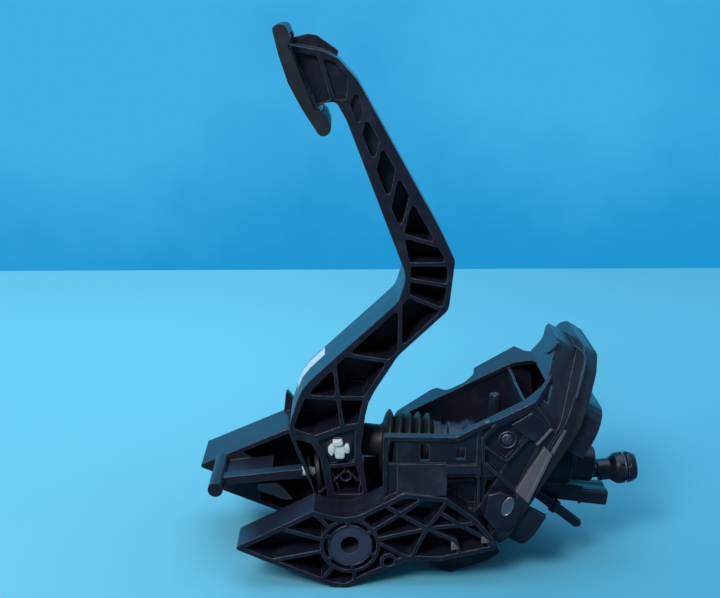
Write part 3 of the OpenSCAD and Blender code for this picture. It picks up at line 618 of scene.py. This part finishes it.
class Wire:
    """A node tree that sweeps a round wire along a curve, makes it real and paints it."""

    def __init__(self, name: str, inputs: dict[str, str], facets: int) -> None:
        """Starts the tree.

        Args:
            name: The piece's name.
            inputs: The kind of each further named input.
            facets: How many sides the wire has.
        """
        self.name = name
        self.tree = bpy.data.node_groups.new(name + "_tree", "GeometryNodeTree")
        for key, kind in {**inputs, "Wire": "Float", "Finish": "Material"}.items():
            self.tree.interface.new_socket(key, in_out="INPUT", socket_type="NodeSocket" + kind)
        self.tree.interface.new_socket("Geometry", in_out="OUTPUT", socket_type="NodeSocketGeometry")
        self.inputs = self.node("NodeGroupInput", {}).outputs
        values = {"Resolution": facets, "Radius": self.inputs["Wire"]}
        ring = self.node("GeometryNodeCurvePrimitiveCircle", values)
        caps = {"Fill Caps": True, "Profile Curve": ring.outputs["Curve"]}
        self.sweep = self.node("GeometryNodeCurveToMesh", caps)
        real = self.node("GeometryNodeRealizeInstances", {0: self.sweep.outputs[0]})
        paint = self.node("GeometryNodeSetMaterial", {0: real.outputs[0], "Material": self.inputs["Finish"]})
        self.node("NodeGroupOutput", {0: paint.outputs[0]})

    def node(self, kind: str, values: dict[Any, Any], mode: str | None = None) -> bpy.types.Node:
        """Adds a node with a plain value or a link for each input, and its mode where it has one."""
        made = self.tree.nodes.new(kind)
        if mode:
            made.mode = mode
        for key, value in values.items():
            if isinstance(value, bpy.types.NodeSocket):
                self.tree.links.new(value, made.inputs[key])
            else:
                made.inputs[key].default_value = value
        return made

    def grow(
        self, curve: bpy.types.Node, sizes: dict[str, Any], line: bpy.types.Mesh | None = None
    ) -> bpy.types.Object:
        """Runs the tree and keeps the result as plain faces.

        Args:
            curve: The node that gives the curve.
            sizes: A value for each named input.
            line: The mesh that the tree starts from, or none.

        Returns:
            The finished mesh, with no modifier.
        """
        self.tree.links.new(curve.outputs[0], self.sweep.inputs["Curve"])
        base = bpy.data.objects.new(self.name + "_seed", line or bpy.data.meshes.new(self.name + "_seed"))
        bpy.context.scene.collection.objects.link(base)
        modifier = base.modifiers.new("shape", "NODES")
        modifier.node_group = self.tree
        items = self.tree.interface.items_tree
        keys = {item.name: item.identifier for item in items if item.in_out == "INPUT"}
        for key, size in sizes.items():
            modifier[keys[key]] = size
        bpy.context.view_layer.update()
        evaluated = base.evaluated_get(bpy.context.evaluated_depsgraph_get())
        mesh = bpy.data.meshes.new_from_object(evaluated)
        mesh.name = self.name
        bpy.data.objects.remove(base)
        made = bpy.data.objects.new(self.name, mesh)
        bpy.context.scene.collection.objects.link(made)
        smooth(made, 60.0)
        return made


class Parts:
    """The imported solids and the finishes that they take."""

    def __init__(self, frame: dict[str, Any]) -> None:
        """Keeps the loaded frame and builds the finishes."""
        self.nodes: dict[str, bpy.types.Object] = frame["nodes"]
        self.slots = {row["node"]: row["material_slot"] for row in frame["record"]["subparts"]}
        finishes = {
            Slot.MOULDED: MouldedPlastic("moulded_black"),
            Slot.SOFT: MouldedPlastic("soft_black", colour=(0.0085, 0.0088, 0.0130), roughness=0.34),
            Slot.RUBBER: Rubber("rubber"),
            Slot.NYLON: Nylon("white_nylon"),
            Slot.NATURAL: Nylon("natural_plastic", colour=(0.50, 0.46, 0.34)),
            Slot.LABEL: Paper("label"),
            Slot.ZINC: Metal("zinc_steel"),
            Slot.DARK: Metal(
                "dark_steel", colour=(0.15, 0.18, 0.26), stain=(0.08, 0.09, 0.13), roughness=0.55
            ),
            Slot.MAGNET: Metal("magnet", colour=(0.12, 0.12, 0.13), roughness=0.5),
            # Pale moulding of the strips and the patch: its colour is partly abrasion and partly painted
            # highlight where light catches the faces
            Slot.RUBBED_AND_HIGHLIGHT: MouldedPlastic(
                "rubbed_black_and_highlight", colour=(0.104, 0.084, 0.088), worn_and_highlight=(0.26, 0.24, 0.25), roughness=0.46
            ),
        }
        self.materials = {slot: finish.make() for slot, finish in finishes.items()}

    def dress_solids(self) -> None:
        """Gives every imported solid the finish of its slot."""
        for name, node in self.nodes.items():
            dress(node, self.materials[Slot(self.slots[name])])
            log.info("solid %s: %s", name, self.slots[name])

    def add(self, piece: bpy.types.Object, slot: Slot, body: Body, *replaced: str) -> bpy.types.Object:
        """Dresses a finished piece and lets it ride on a body.

        Args:
            piece: The finished mesh.
            slot: Its finish.
            body: What it moves with.
            replaced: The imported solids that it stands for.

        Returns:
            The piece.
        """
        dress(piece, self.materials[slot])
        if replaced:
            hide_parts(*replaced)
        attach(piece, body.value)
        log.info("piece %s on %s, %d faces", piece.name, body.value, len(piece.data.polygons))
        return piece


@dataclass
class Cylinder:
    """The master cylinder's soft pieces, along its tilted axis, in millimetres from the pushrod's pin."""

    tilt: float = 7.0
    boot_start: float = 15.0
    boot_end: float = 61.0
    travel: float = 23.1
    folds: int = 5
    fold_start: float = 28.0
    pitch: float = 6.2
    peak: float = 20.9
    valley: float = 14.2
    skin: float = 1.1
    nose: float = 10.4
    coil_start: float = 97.0
    coil_end: float = 143.5
    coil_radius: float = 6.3
    coil_height: float = 44.0
    turns: float = 8.0
    wire: float = 0.9
    axis: Matrix = field(init=False)

    def __post_init__(self) -> None:
        """Works out the axis."""
        start = Matrix.Translation((PIN[0] * MM, 0.0, PIN[1] * MM))
        self.axis = start @ Matrix.Rotation(math.radians(90 + self.tilt), 4, "Y")

    def boot(self) -> bpy.types.Object:
        """Builds the dust boot with rounded folds."""
        start, crest = self.boot_start, self.peak - 0.7
        outer = [(self.nose - 1.0, start), (self.nose - 0.1, start + 0.9), (self.nose, 25.5)]
        outer += arc(outer[-1], (self.valley, self.fold_start), -0.4, 4)
        for k in range(self.folds):
            low = self.fold_start + k * self.pitch
            top = low + self.pitch * 0.46
            outer += arc(outer[-1], (crest, top - 1.0), 0.5, 4)
            outer += arc(outer[-1], (crest, top + 1.0), 0.8, 6)
            outer += arc(outer[-1], (self.valley, low + self.pitch), 0.5, 4)
        outer += [(16.4, self.boot_end - 1.6), (16.5, self.boot_end + 3.6), (15.2, self.boot_end + 4.0)]
        inner = [(15.15, self.boot_end - 2.0), (self.valley - self.skin, self.boot_end - 3.0)]
        for k in reversed(range(self.folds)):
            low = self.fold_start + k * self.pitch
            inner += [(self.peak - self.skin - 0.8, low + self.pitch * 0.46), (self.valley - self.skin, low)]
        inner += [(9.2, 25.0), (9.2, 17.4), (4.9, 17.2), (4.9, start)]
        return solid("boot_bellows", lambda bm: lathe(bm, outer + inner, self.axis), 50.0)

    def spring(self, finish: bpy.types.Material) -> bpy.types.Object:
        """Builds the piston's coil spring with a node tree that sweeps a wire along a spiral."""
        tree = Wire("piston_coil", {"Turns": "Float", "Radius": "Float", "Height": "Float"}, 8)
        values = {
            "Resolution": 24,
            "Rotations": tree.inputs["Turns"],
            "Start Radius": tree.inputs["Radius"],
            "End Radius": tree.inputs["Radius"],
            "Height": tree.inputs["Height"],
        }
        spiral = tree.node("GeometryNodeCurveSpiral", values)
        sizes = {
            "Turns": self.turns,
            "Radius": self.coil_radius * MM,
            "Height": self.coil_height * MM,
            "Wire": self.wire * MM,
            "Finish": finish,
        }
        made = tree.grow(spiral, sizes)
        made.data.transform(self.axis @ Matrix.Translation((0.0, 0.0, (self.coil_start + 0.2) * MM)))
        return made

    def build(self, parts: Parts) -> None:
        """Makes both pieces and lets them ride on the bracket, each with a mesh of its own."""
        boot = parts.add(self.boot(), Slot.RUBBER, Body.BRACKET, "dust_boot")
        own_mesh(boot)
        coil = parts.add(self.spring(parts.materials[Slot.ZINC]), Slot.ZINC, Body.BRACKET, "piston_spring")
        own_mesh(coil)


@dataclass
class Arm:
    """Fine forms on the pedal's arm."""

    head_floors: Sequence[tuple[float, Outline]] = (
        (-11.6, ((-34, 298.4), (-17, 295), (-14.6, 288), (-8.8, 268.6), (-18.6, 265))),
        (-12.6, ((-17, 295), (-7, 291.4), (1, 282.6), (-0.4, 267.6), (-8.8, 268.6), (-14.6, 288))),
        (-13.0, ((5, 279), (9.9, 262.4), (6.6, 249.4), (-0.6, 266.4))),
        (-9.0, ((9.9, 262.4), (19.3, 245.8), (15.2, 228.6), (6.6, 249.4))),
        (-6.0, ((19.3, 245.8), (28.7, 228.8), (24, 205.6), (15.2, 228.6))),
        (-2.0, ((28.7, 228.8), (37.2, 213.4), (31.4, 189.6), (24, 205.6))),
    )
    foot_ribs: Sequence[Outline] = (
        ((-4.4, 46.0), (-2.8, 37.3)),
        ((-2.8, 37.3), (-7.3, 31.8), (-11.8, 28.4), (-18.9, 21.5)),
        ((-8.0, 28.0), (-5.3, 18.0)),
        ((-0.9, 37.3), (2.2, 33.8), (4.8, 29.7), (9.9, 29.6)),
        ((7.3, 28.6), (5.4, 18.8)),
        ((-12.4, 38.6), (-11.1, 33.9), (-8.0, 31.0)),
    )
    rib: float = 1.3
    rib_front: float = -18.0
    web: float = 9.0
    ring: tuple[float, float] = (-2.2, 32.5)
    ledges: Sequence[Outline] = (
        ((8.3, 115.4), (24.9, 112.0)),
        ((-3.9, 89.2), (9.6, 88.4)),
        ((-4.4, 101.4), (-3.2, 89.9)),
        ((-31.2, 66.0), (-20.8, 64.5)),
    )
    prong_foot: float = 4.5
    prongs: Sequence[tuple[float, Outline]] = (
        (0.0, ((-3.75, 6.6), (1.9, 6.9), (2.8, 4.7), (1.25, 2.9), (-1.9, 2.6), (-4.1, 4.4))),
        (
            0.5,
            (
                (-5, 3.8), (-3.1, 3.5), (-1.9, 1.6), (-2.8, -0.3),
                (-3.75, -3.4), (-5, -3.7), (-6.6, -1.5), (-6.9, 1.3),
            ),
        ),
        (0.5, ((4.4, 4.1), (6.25, 3.5), (6.9, 1), (6.6, -1.5), (5, -2.4), (3.75, -0.9), (3.4, 2.6))),
        (
            1.0,
            (
                (-1.9, 2.4), (1.9, 2.7), (3.4, 2), (3.75, -0.9), (3.75, -5),
                (2.5, -5.9), (-1.6, -5.9), (-2.6, -4.7), (-2.6, -0.9), (-3.1, 1),
            ),
        ),
    )

    def floors(self) -> bpy.types.Object:
        """Builds the shallow floors of the upper pockets."""

        def fill(bm: bmesh.types.BMesh) -> None:
            """One floor a pocket."""
            for depth, outline in self.head_floors:
                plate(bm, outline, self.web, depth, edge=0.2)

        return solid("pocket_floors", fill)

    def ribs(self) -> bpy.types.Object:
        """Builds the thin ribs and the small ring at the arm's foot, and the ledges in its pockets."""

        def fill(bm: bmesh.types.BMesh) -> None:
            """The ribs, the ring and the ledges."""
            for path in self.foot_ribs:
                plate(bm, ribbon(path, self.rib), self.web, self.rib_front, edge=0.35)
            for path in self.ledges:
                plate(bm, ribbon(path, 0.9), self.web, self.web - 4.0, edge=0.25)
            x, z = self.ring
            profile = [(2.5, 0.0), (3.9, 0.0), (3.9, 26.0), (3.5, 26.5), (2.9, 26.5), (2.5, 26.1)]
            lathe(bm, profile, around(x, z, self.web), 48)

        return solid("foot_ribs", fill, SHARP)

    def snap_pin(self) -> bpy.types.Object:
        """Builds the snap pin of the pushrod, with its four prongs."""
        low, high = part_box("clevis_pin")
        x, z = PIN
        front, rear = low[1] / MM, high[1] / MM

        def fill(bm: bmesh.types.BMesh) -> None:
            """Prongs, shaft and button."""
            for depth, shape in self.prongs:
                outline = [(x + a, z + b) for a, b in shape]
                plate(bm, outline, front + self.prong_foot, front + depth, edge=0.7)
            span = rear - front
            button = span - 3.0
            shaft = [(0, 1.6), (3.4, 1.6), (3.9, 2.2), (3.9, button), (6.4, button), (6.9, button + 0.6)]
            shaft += [(6.9, span - 0.7), (6.2, span), (2.2, span), (1.8, span - 0.8), (0, span - 0.8)]
            lathe(bm, [(r, -t) for r, t in shaft], around(x, z, front), 64)

        return solid("snap_pin", fill, SHARP)

    def build(self, parts: Parts) -> None:
        """Makes the arm's fine pieces."""
        parts.add(self.floors(), Slot.MOULDED, Body.PEDAL)
        parts.add(self.ribs(), Slot.MOULDED, Body.PEDAL)
        parts.add(self.snap_pin(), Slot.NYLON, Body.PEDAL, "clevis_pin")


@dataclass
class Bracket:
    """Fine forms on the bracket's near side, its mouth and its flange."""

    strip: Outline = ((117.4, 65.2), (121.9, 60.6), (108.1, 29.1), (101.0, 36.4))
    trim: Sequence[Outline] = (
        ((120.3, 60.8), (122.1, 59.8), (109.2, 28.6), (107.4, 29.6)),
        ((128.8, 77.6), (130.4, 76.3), (123.0, 60.8), (121.1, 61.8)),
    )
    block: Outline = ((97.4, 79.0), (109.7, 87.0), (121.3, 77.6), (113.0, 67.9), (107.4, 69.9))
    wedge: Outline = ((120.9, 76.9), (122.2, 75.9), (113.6, 65.3), (112.3, 66.6))
    gussets: Sequence[tuple[float, Outline]] = (
        (-43.8, ((81.9, 79.2), (87.3, 80.6), (83.8, 76.1))),
        (-48.3, ((62.4, 1.6), (63.6, 2.3), (67.7, -2.6), (62.8, -3.5))),
        (-48.3, ((81.1, 5.2), (82.1, 5.9), (85.9, 1.7), (81.3, 1.1))),
    )
    boss_face: Outline = (
        (84.6, 33.6), (92.4, 35.5), (102.0, 31.0), (105.6, 25.6),
        (104.0, 16.0), (97.2, 9.4), (88.2, 11.4), (82.4, 19.0),
    )
    sleeve: tuple[float, float] = (96.6, 26.0)
    sleeve_wide: float = 3.5
    sleeve_tall: float = 6.6
    sleeve_lean: float = 0.33
    sleeve_rings: Outline = (
        (1.0, -48.0), (1.0, -48.9), (0.93, -49.1), (0.84, -49.1), (0.80, -48.8), (0.4, -48.7)
    )
    screw: tuple[float, float, float] = (95.9, 67.5, -41.0)
    partition_x: float = 105.5
    partition_wall: float = 1.6
    partition_deep: float = 34.0
    partition_top: Outline = ((31.6, 88.8), (14.1, 90.4), (0.8, 88.6), (-19.2, 89.8), (-36.6, 90.6))
    lip: Outline = (
        (10.7, 105.4), (3.4, 107.2), (-1.6, 110.3), (-4.2, 114.6), (-3.9, 118.6),
        (-0.6, 118.4), (1.8, 116.6), (4.9, 112.6), (7.4, 108.0),
    )
    bead: Outline = (
        (46.0, 114.4), (16.1, 118.2), (-9.7, 121.4), (-19.6, 120.3),
        (-26.8, 115.7), (-34.6, 108.6), (-42.2, 100.6),
    )
    bead_depth: float = -10.2
    bead_radius: float = 0.9
    bead_corner: float = 3.0
    patch: Outline = (
        (-61.6, 8.8), (-58.9, 9.3), (-48.8, 9.5), (-44.1, 5.0),
        (-38.2, -2.4), (-43.6, -2.8), (-53.7, 1.4), (-61.8, 4.4),
    )

    def strips(self) -> bpy.types.Object:
        """Builds the pale strip on the flange's side and what else catches the light there; their pale
        colour is a painted highlight, partly abrasion.
        """

        def fill(bm: bmesh.types.BMesh) -> None:
            """The strip, its narrow trim, the wedge beside the pocket and the gussets."""
            plate(bm, self.strip, -46.5, -49.5, edge=0.25)
            for shape in self.trim:
                plate(bm, shape, -47.0, -49.66, edge=0.15)
            plate(bm, self.wedge, -44.0, -47.8, edge=0.3)
            for depth, shape in self.gussets:
                plate(bm, shape, depth + 3.0, depth, edge=0.2)

        return solid("flange_highlight_strip", fill)

    def pocket(self) -> bpy.types.Object:
        """Builds the raised block in the six-sided pocket and the partition inside the mouth."""

        def fill(bm: bmesh.types.BMesh) -> None:
            """The block and the partition."""
            plate(bm, self.block, -41.0, -47.0, edge=0.4)
            foot = [(y, z - self.partition_deep) for y, z in reversed(self.partition_top)]
            wall = self.partition_x + self.partition_wall
            plate(bm, [*self.partition_top, *foot], self.partition_x, wall, edge=0.3, place=ACROSS)

        return solid("pocket_block", fill)

    def boss(self) -> bpy.types.Object:
        """Builds the smooth boss round the near lower sleeve."""
        return solid("sleeve_boss", lambda bm: plate(bm, self.boss_face, -45.5, -48.3, edge=0.8), SHARP)

    def sleeve_end(self) -> bpy.types.Object:
        """Builds the bright end of that sleeve, with its shallow hollow."""

        def fill(bm: bmesh.types.BMesh) -> None:
            """A rim and a sunk face, ring by ring from the rim's foot inwards."""
            x, z = self.sleeve
            cos, sin = math.cos(self.sleeve_lean), math.sin(self.sleeve_lean)
            steps = 40
            rings = []
            for size, depth in self.sleeve_rings:
                ring = []
                for k in range(steps):
                    turn = k * math.tau / steps
                    a = self.sleeve_wide * size * math.cos(turn)
                    b = self.sleeve_tall * size * math.sin(turn)
                    spot = Vector((x + a * cos + b * sin, depth, z + b * cos - a * sin))
                    ring.append(bm.verts.new(spot * MM))
                rings.append(ring)
            for one, two in zip(rings, rings[1:]):
                for k in range(steps):
                    bm.faces.new((one[k], one[(k + 1) % steps], two[(k + 1) % steps], two[k]))
            bm.faces.new(rings[0])
            bm.faces.new(rings[-1])

        return solid("sleeve_end", fill, SHARP)

    def cap(self) -> bpy.types.Object:
        """Builds the rounded cap of the inlet tower."""
        low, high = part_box("inlet_cap")
        x, y = (low[0] + high[0]) / 2 / MM, (low[1] + high[1]) / 2 / MM
        radius, foot, top = (high[0] - low[0]) / 2 / MM, low[2] / MM, high[2] / MM

        def fill(bm: bmesh.types.BMesh) -> None:
            """A domed cap with a groove under its rim."""
            tall, rim = top - foot, 1.4
            neck = radius - 0.5
            profile = [(0, 0), (neck, 0), (neck, tall * 0.35), (radius, tall * 0.45), (radius, tall - rim)]
            profile += arc(profile[-1], (radius - rim, tall), 0.4)
            profile += [(radius - 2.2, tall), (radius - 2.6, tall - 0.5), (0, tall - 0.5)]
            lathe(bm, profile, Matrix.Translation((x * MM, y * MM, foot * MM)), 64)

        return solid("tower_cap", fill, SHARP)

    def patch_plate(self) -> bpy.types.Object:
        """Builds the grained patch inside the far cheek."""
        return solid("cheek_patch", lambda bm: plate(bm, self.patch, 24.5, 22.6, edge=0.3))

    def lip_plate(self) -> bpy.types.Object:
        """Builds the curved lip on the flange's box."""
        return solid("box_lip", lambda bm: plate(bm, self.lip, -24.0, -26.0, edge=0.6, place=FLANGE))

    def sunk_screw(self) -> bpy.types.Object:
        """Builds the sunk screw with its rim, its slot and its shaft."""
        x, z, y = self.screw
        axis = around(x, z, y)

        def fill(bm: bmesh.types.BMesh) -> None:
            """Rim, head, the two cheeks of the slot and the shaft."""
            lathe(bm, [(4.6, -0.5), (5.6, -0.5), (5.6, 1.6), (5.2, 2.0), (4.8, 1.6)], axis, 64)
            lathe(bm, [(0, -0.5), (3.7, -0.5), (3.7, 0.7), (3.2, 1.3), (2.2, 1.6), (0, 1.6)], axis, 48)
            for side in (-1, 1):
                low, high = (x - 1.5 + side, z - 0.8 * side), (x - 0.3 + side, z + 2.2 - 0.6 * side)
                plate(bm, ribbon((low, high), 0.7), y - 1.0, y - 2.0, edge=0.2)
            lathe(bm, [(0, -4.0), (1.8, -4.0), (1.8, -0.6), (0, -0.6)], axis, 32)

        return solid("pocket_screw", fill, SHARP)

    def edge_bead(self, finish: bpy.types.Material) -> bpy.types.Object:
        """Builds the round bead on the flange's edge with a node tree that follows a line."""
        tree = Wire("flange_bead", {"Line": "Geometry", "Corner": "Float"}, 10)
        curve = tree.node("GeometryNodeMeshToCurve", {0: tree.inputs["Line"]})
        corner = {"Radius": tree.inputs["Corner"], "Count": 4, "Limit Radius": True}
        fillet = tree.node("GeometryNodeFilletCurve", {"Curve": curve.outputs[0], **corner}, "POLY")
        points = [FLANGE @ Vector((a, b, self.bead_depth)) * MM for a, b in self.bead]
        line = bpy.data.meshes.new("flange_bead_line")
        line.from_pydata(points, [(k, k + 1) for k in range(len(points) - 1)], [])
        sizes = {"Wire": self.bead_radius * MM, "Corner": self.bead_corner * MM, "Finish": finish}
        return tree.grow(fillet, sizes, line)

    def build(self, parts: Parts) -> None:
        """Makes the bracket's fine pieces."""
        parts.add(self.strips(), Slot.RUBBED_AND_HIGHLIGHT, Body.BRACKET)
        parts.add(self.pocket(), Slot.MOULDED, Body.BRACKET)
        parts.add(self.patch_plate(), Slot.RUBBED_AND_HIGHLIGHT, Body.BRACKET)
        parts.add(self.boss(), Slot.MOULDED, Body.BRACKET)
        parts.add(self.sleeve_end(), Slot.ZINC, Body.BRACKET)
        parts.add(self.cap(), Slot.MOULDED, Body.BRACKET, "inlet_cap")
        parts.add(self.lip_plate(), Slot.MOULDED, Body.BRACKET)
        parts.add(self.sunk_screw(), Slot.DARK, Body.BRACKET, "pocket_screws")
        parts.add(self.edge_bead(parts.materials[Slot.MOULDED]), Slot.MOULDED, Body.BRACKET)


@dataclass
class Stage:
    """The floor, the light and the camera."""

    floor_z: float = -0.0290
    floor_half: float = 3.0
    floor_end: float = 0.77
    # Floor colours with painted light falloff: lit on the left, shaded on the right
    floor_lit_left: Colour = (0.146, 0.48, 0.595)
    floor_shaded_right: Colour = (0.064, 0.32, 0.465)
    sky_low: Colour = (0.014, 0.300, 0.640)
    sky_high: Colour = (0.052, 0.425, 0.775)
    ceiling: Colour = (0.050, 0.240, 0.420)
    room: Colour = (0.022, 0.028, 0.052)
    reflected_gain: float = 0.7
    ambient: Colour = (0.42, 0.70, 1.0)
    ambient_strength: float = 0.43
    eye: Point = (-0.004025, -0.661015, 0.329452)
    lens: float = 55.0
    sensor: float = 36.0
    pitch: float = 15.6
    yaw: float = 0.953

    def floor(self) -> None:
        """Lays the floor, which ends behind the object, where the backdrop begins."""

        def sheet(bm: bmesh.types.BMesh) -> None:
            """One large face."""
            half, end = self.floor_half, self.floor_end
            corners = [(-half, -half), (half, -half), (half, end), (-half, end)]
            bm.faces.new([bm.verts.new((x, y, self.floor_z)) for x, y in corners])

        made = solid("floor", sheet)
        dress(made, Backdrop("floor_finish", self.floor_lit_left, self.floor_shaded_right).make())

    def world(self) -> None:
        """Fills the surroundings with soft light, and with the plain backdrop for what sees it."""
        s = Shader("surround", bpy.data.worlds.new("surround"))
        bpy.context.scene.world = s.material
        view = s.node("ShaderNodeTexCoord").outputs["Generated"]
        aim = s.node("ShaderNodeSeparateXYZ", None, {0: view})
        across, ahead, height = (Value(s, aim.outputs[i]) for i in range(3))
        mottle = s.noise(5.5, 4.0, 0.6, view)
        rise = height.step(-0.25, -0.08) - across * 0.5 + mottle * 1.5 - 0.75
        backdrop = s.blend(rise.clamped(), self.sky_low, self.sky_high)
        backdrop = s.blend(height.step(0.10, 0.55), backdrop, self.ceiling)
        backdrop = s.blend(ahead.step(0.15, -0.25), backdrop, self.room)
        path = s.node("ShaderNodeLightPath")
        glossy = Value(s, path.outputs["Is Glossy Ray"])
        seen = Value(s, path.outputs["Is Camera Ray"]).most(glossy)
        plain = s.node("ShaderNodeBackground", None, {0: backdrop, 1: glossy * self.reflected_gain + 1.0})
        soft = s.node("ShaderNodeBackground", None, {0: (*self.ambient, 1.0), 1: self.ambient_strength})
        mix = s.node("ShaderNodeMixShader", None, {0: seen, 1: soft.outputs[0], 2: plain.outputs[0]})
        s.node("ShaderNodeOutputWorld", None, {0: mix.outputs[0]})

    def lamp(self, name: str, place: Point, aim: Point, size: float, power: float, tint: Colour) -> None:
        """Hangs one soft lamp.

        Args:
            name: Its name.
            place: Where it hangs.
            aim: The point that it faces.
            size: Its width and height.
            power: Its strength in watts.
            tint: Its colour.
        """
        data = bpy.data.lights.new(name, "AREA")
        data.shape = "SQUARE"
        data.size = size
        data.energy = power
        data.color = tint
        made = bpy.data.objects.new(name, data)
        bpy.context.scene.collection.objects.link(made)
        made.location = place
        made.rotation_euler = (Vector(aim) - Vector(place)).to_track_quat("-Z", "Y").to_euler()

    def camera(self) -> None:
        """Sets the camera at the photograph's angle."""
        data = bpy.data.cameras.new("camera")
        data.lens = self.lens
        data.sensor_width = self.sensor
        data.clip_start = 0.01
        made = bpy.data.objects.new("camera", data)
        bpy.context.scene.collection.objects.link(made)
        made.location = self.eye
        made.rotation_euler = (math.radians(90 - self.pitch), 0.0, math.radians(-self.yaw))
        bpy.context.scene.camera = made

    def build(self) -> None:
        """Sets the whole stage."""
        bpy.context.scene.view_settings.view_transform = "Standard"
        self.floor()
        self.world()
        self.lamp("key", (-0.90, -1.50, 1.70), (0.0, 0.1, 0.05), 0.7, 44.0, (0.96, 0.97, 1.0))
        self.lamp("top", (-0.05, 0.10, 2.30), (0.05, 0.1, 0.05), 2.2, 36.0, (0.62, 0.80, 1.0))
        self.camera()


def main() -> None:
    """Dresses the solids, adds the fine pieces and sets the stage."""
    logging.basicConfig(level=logging.INFO, format="%(message)s")
    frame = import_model()
    parts = Parts(frame)
    parts.dress_solids()
    Cylinder().build(parts)
    Arm().build(parts)
    Bracket().build(parts)
    Stage().build()


if __name__ == "__main__":
    main()
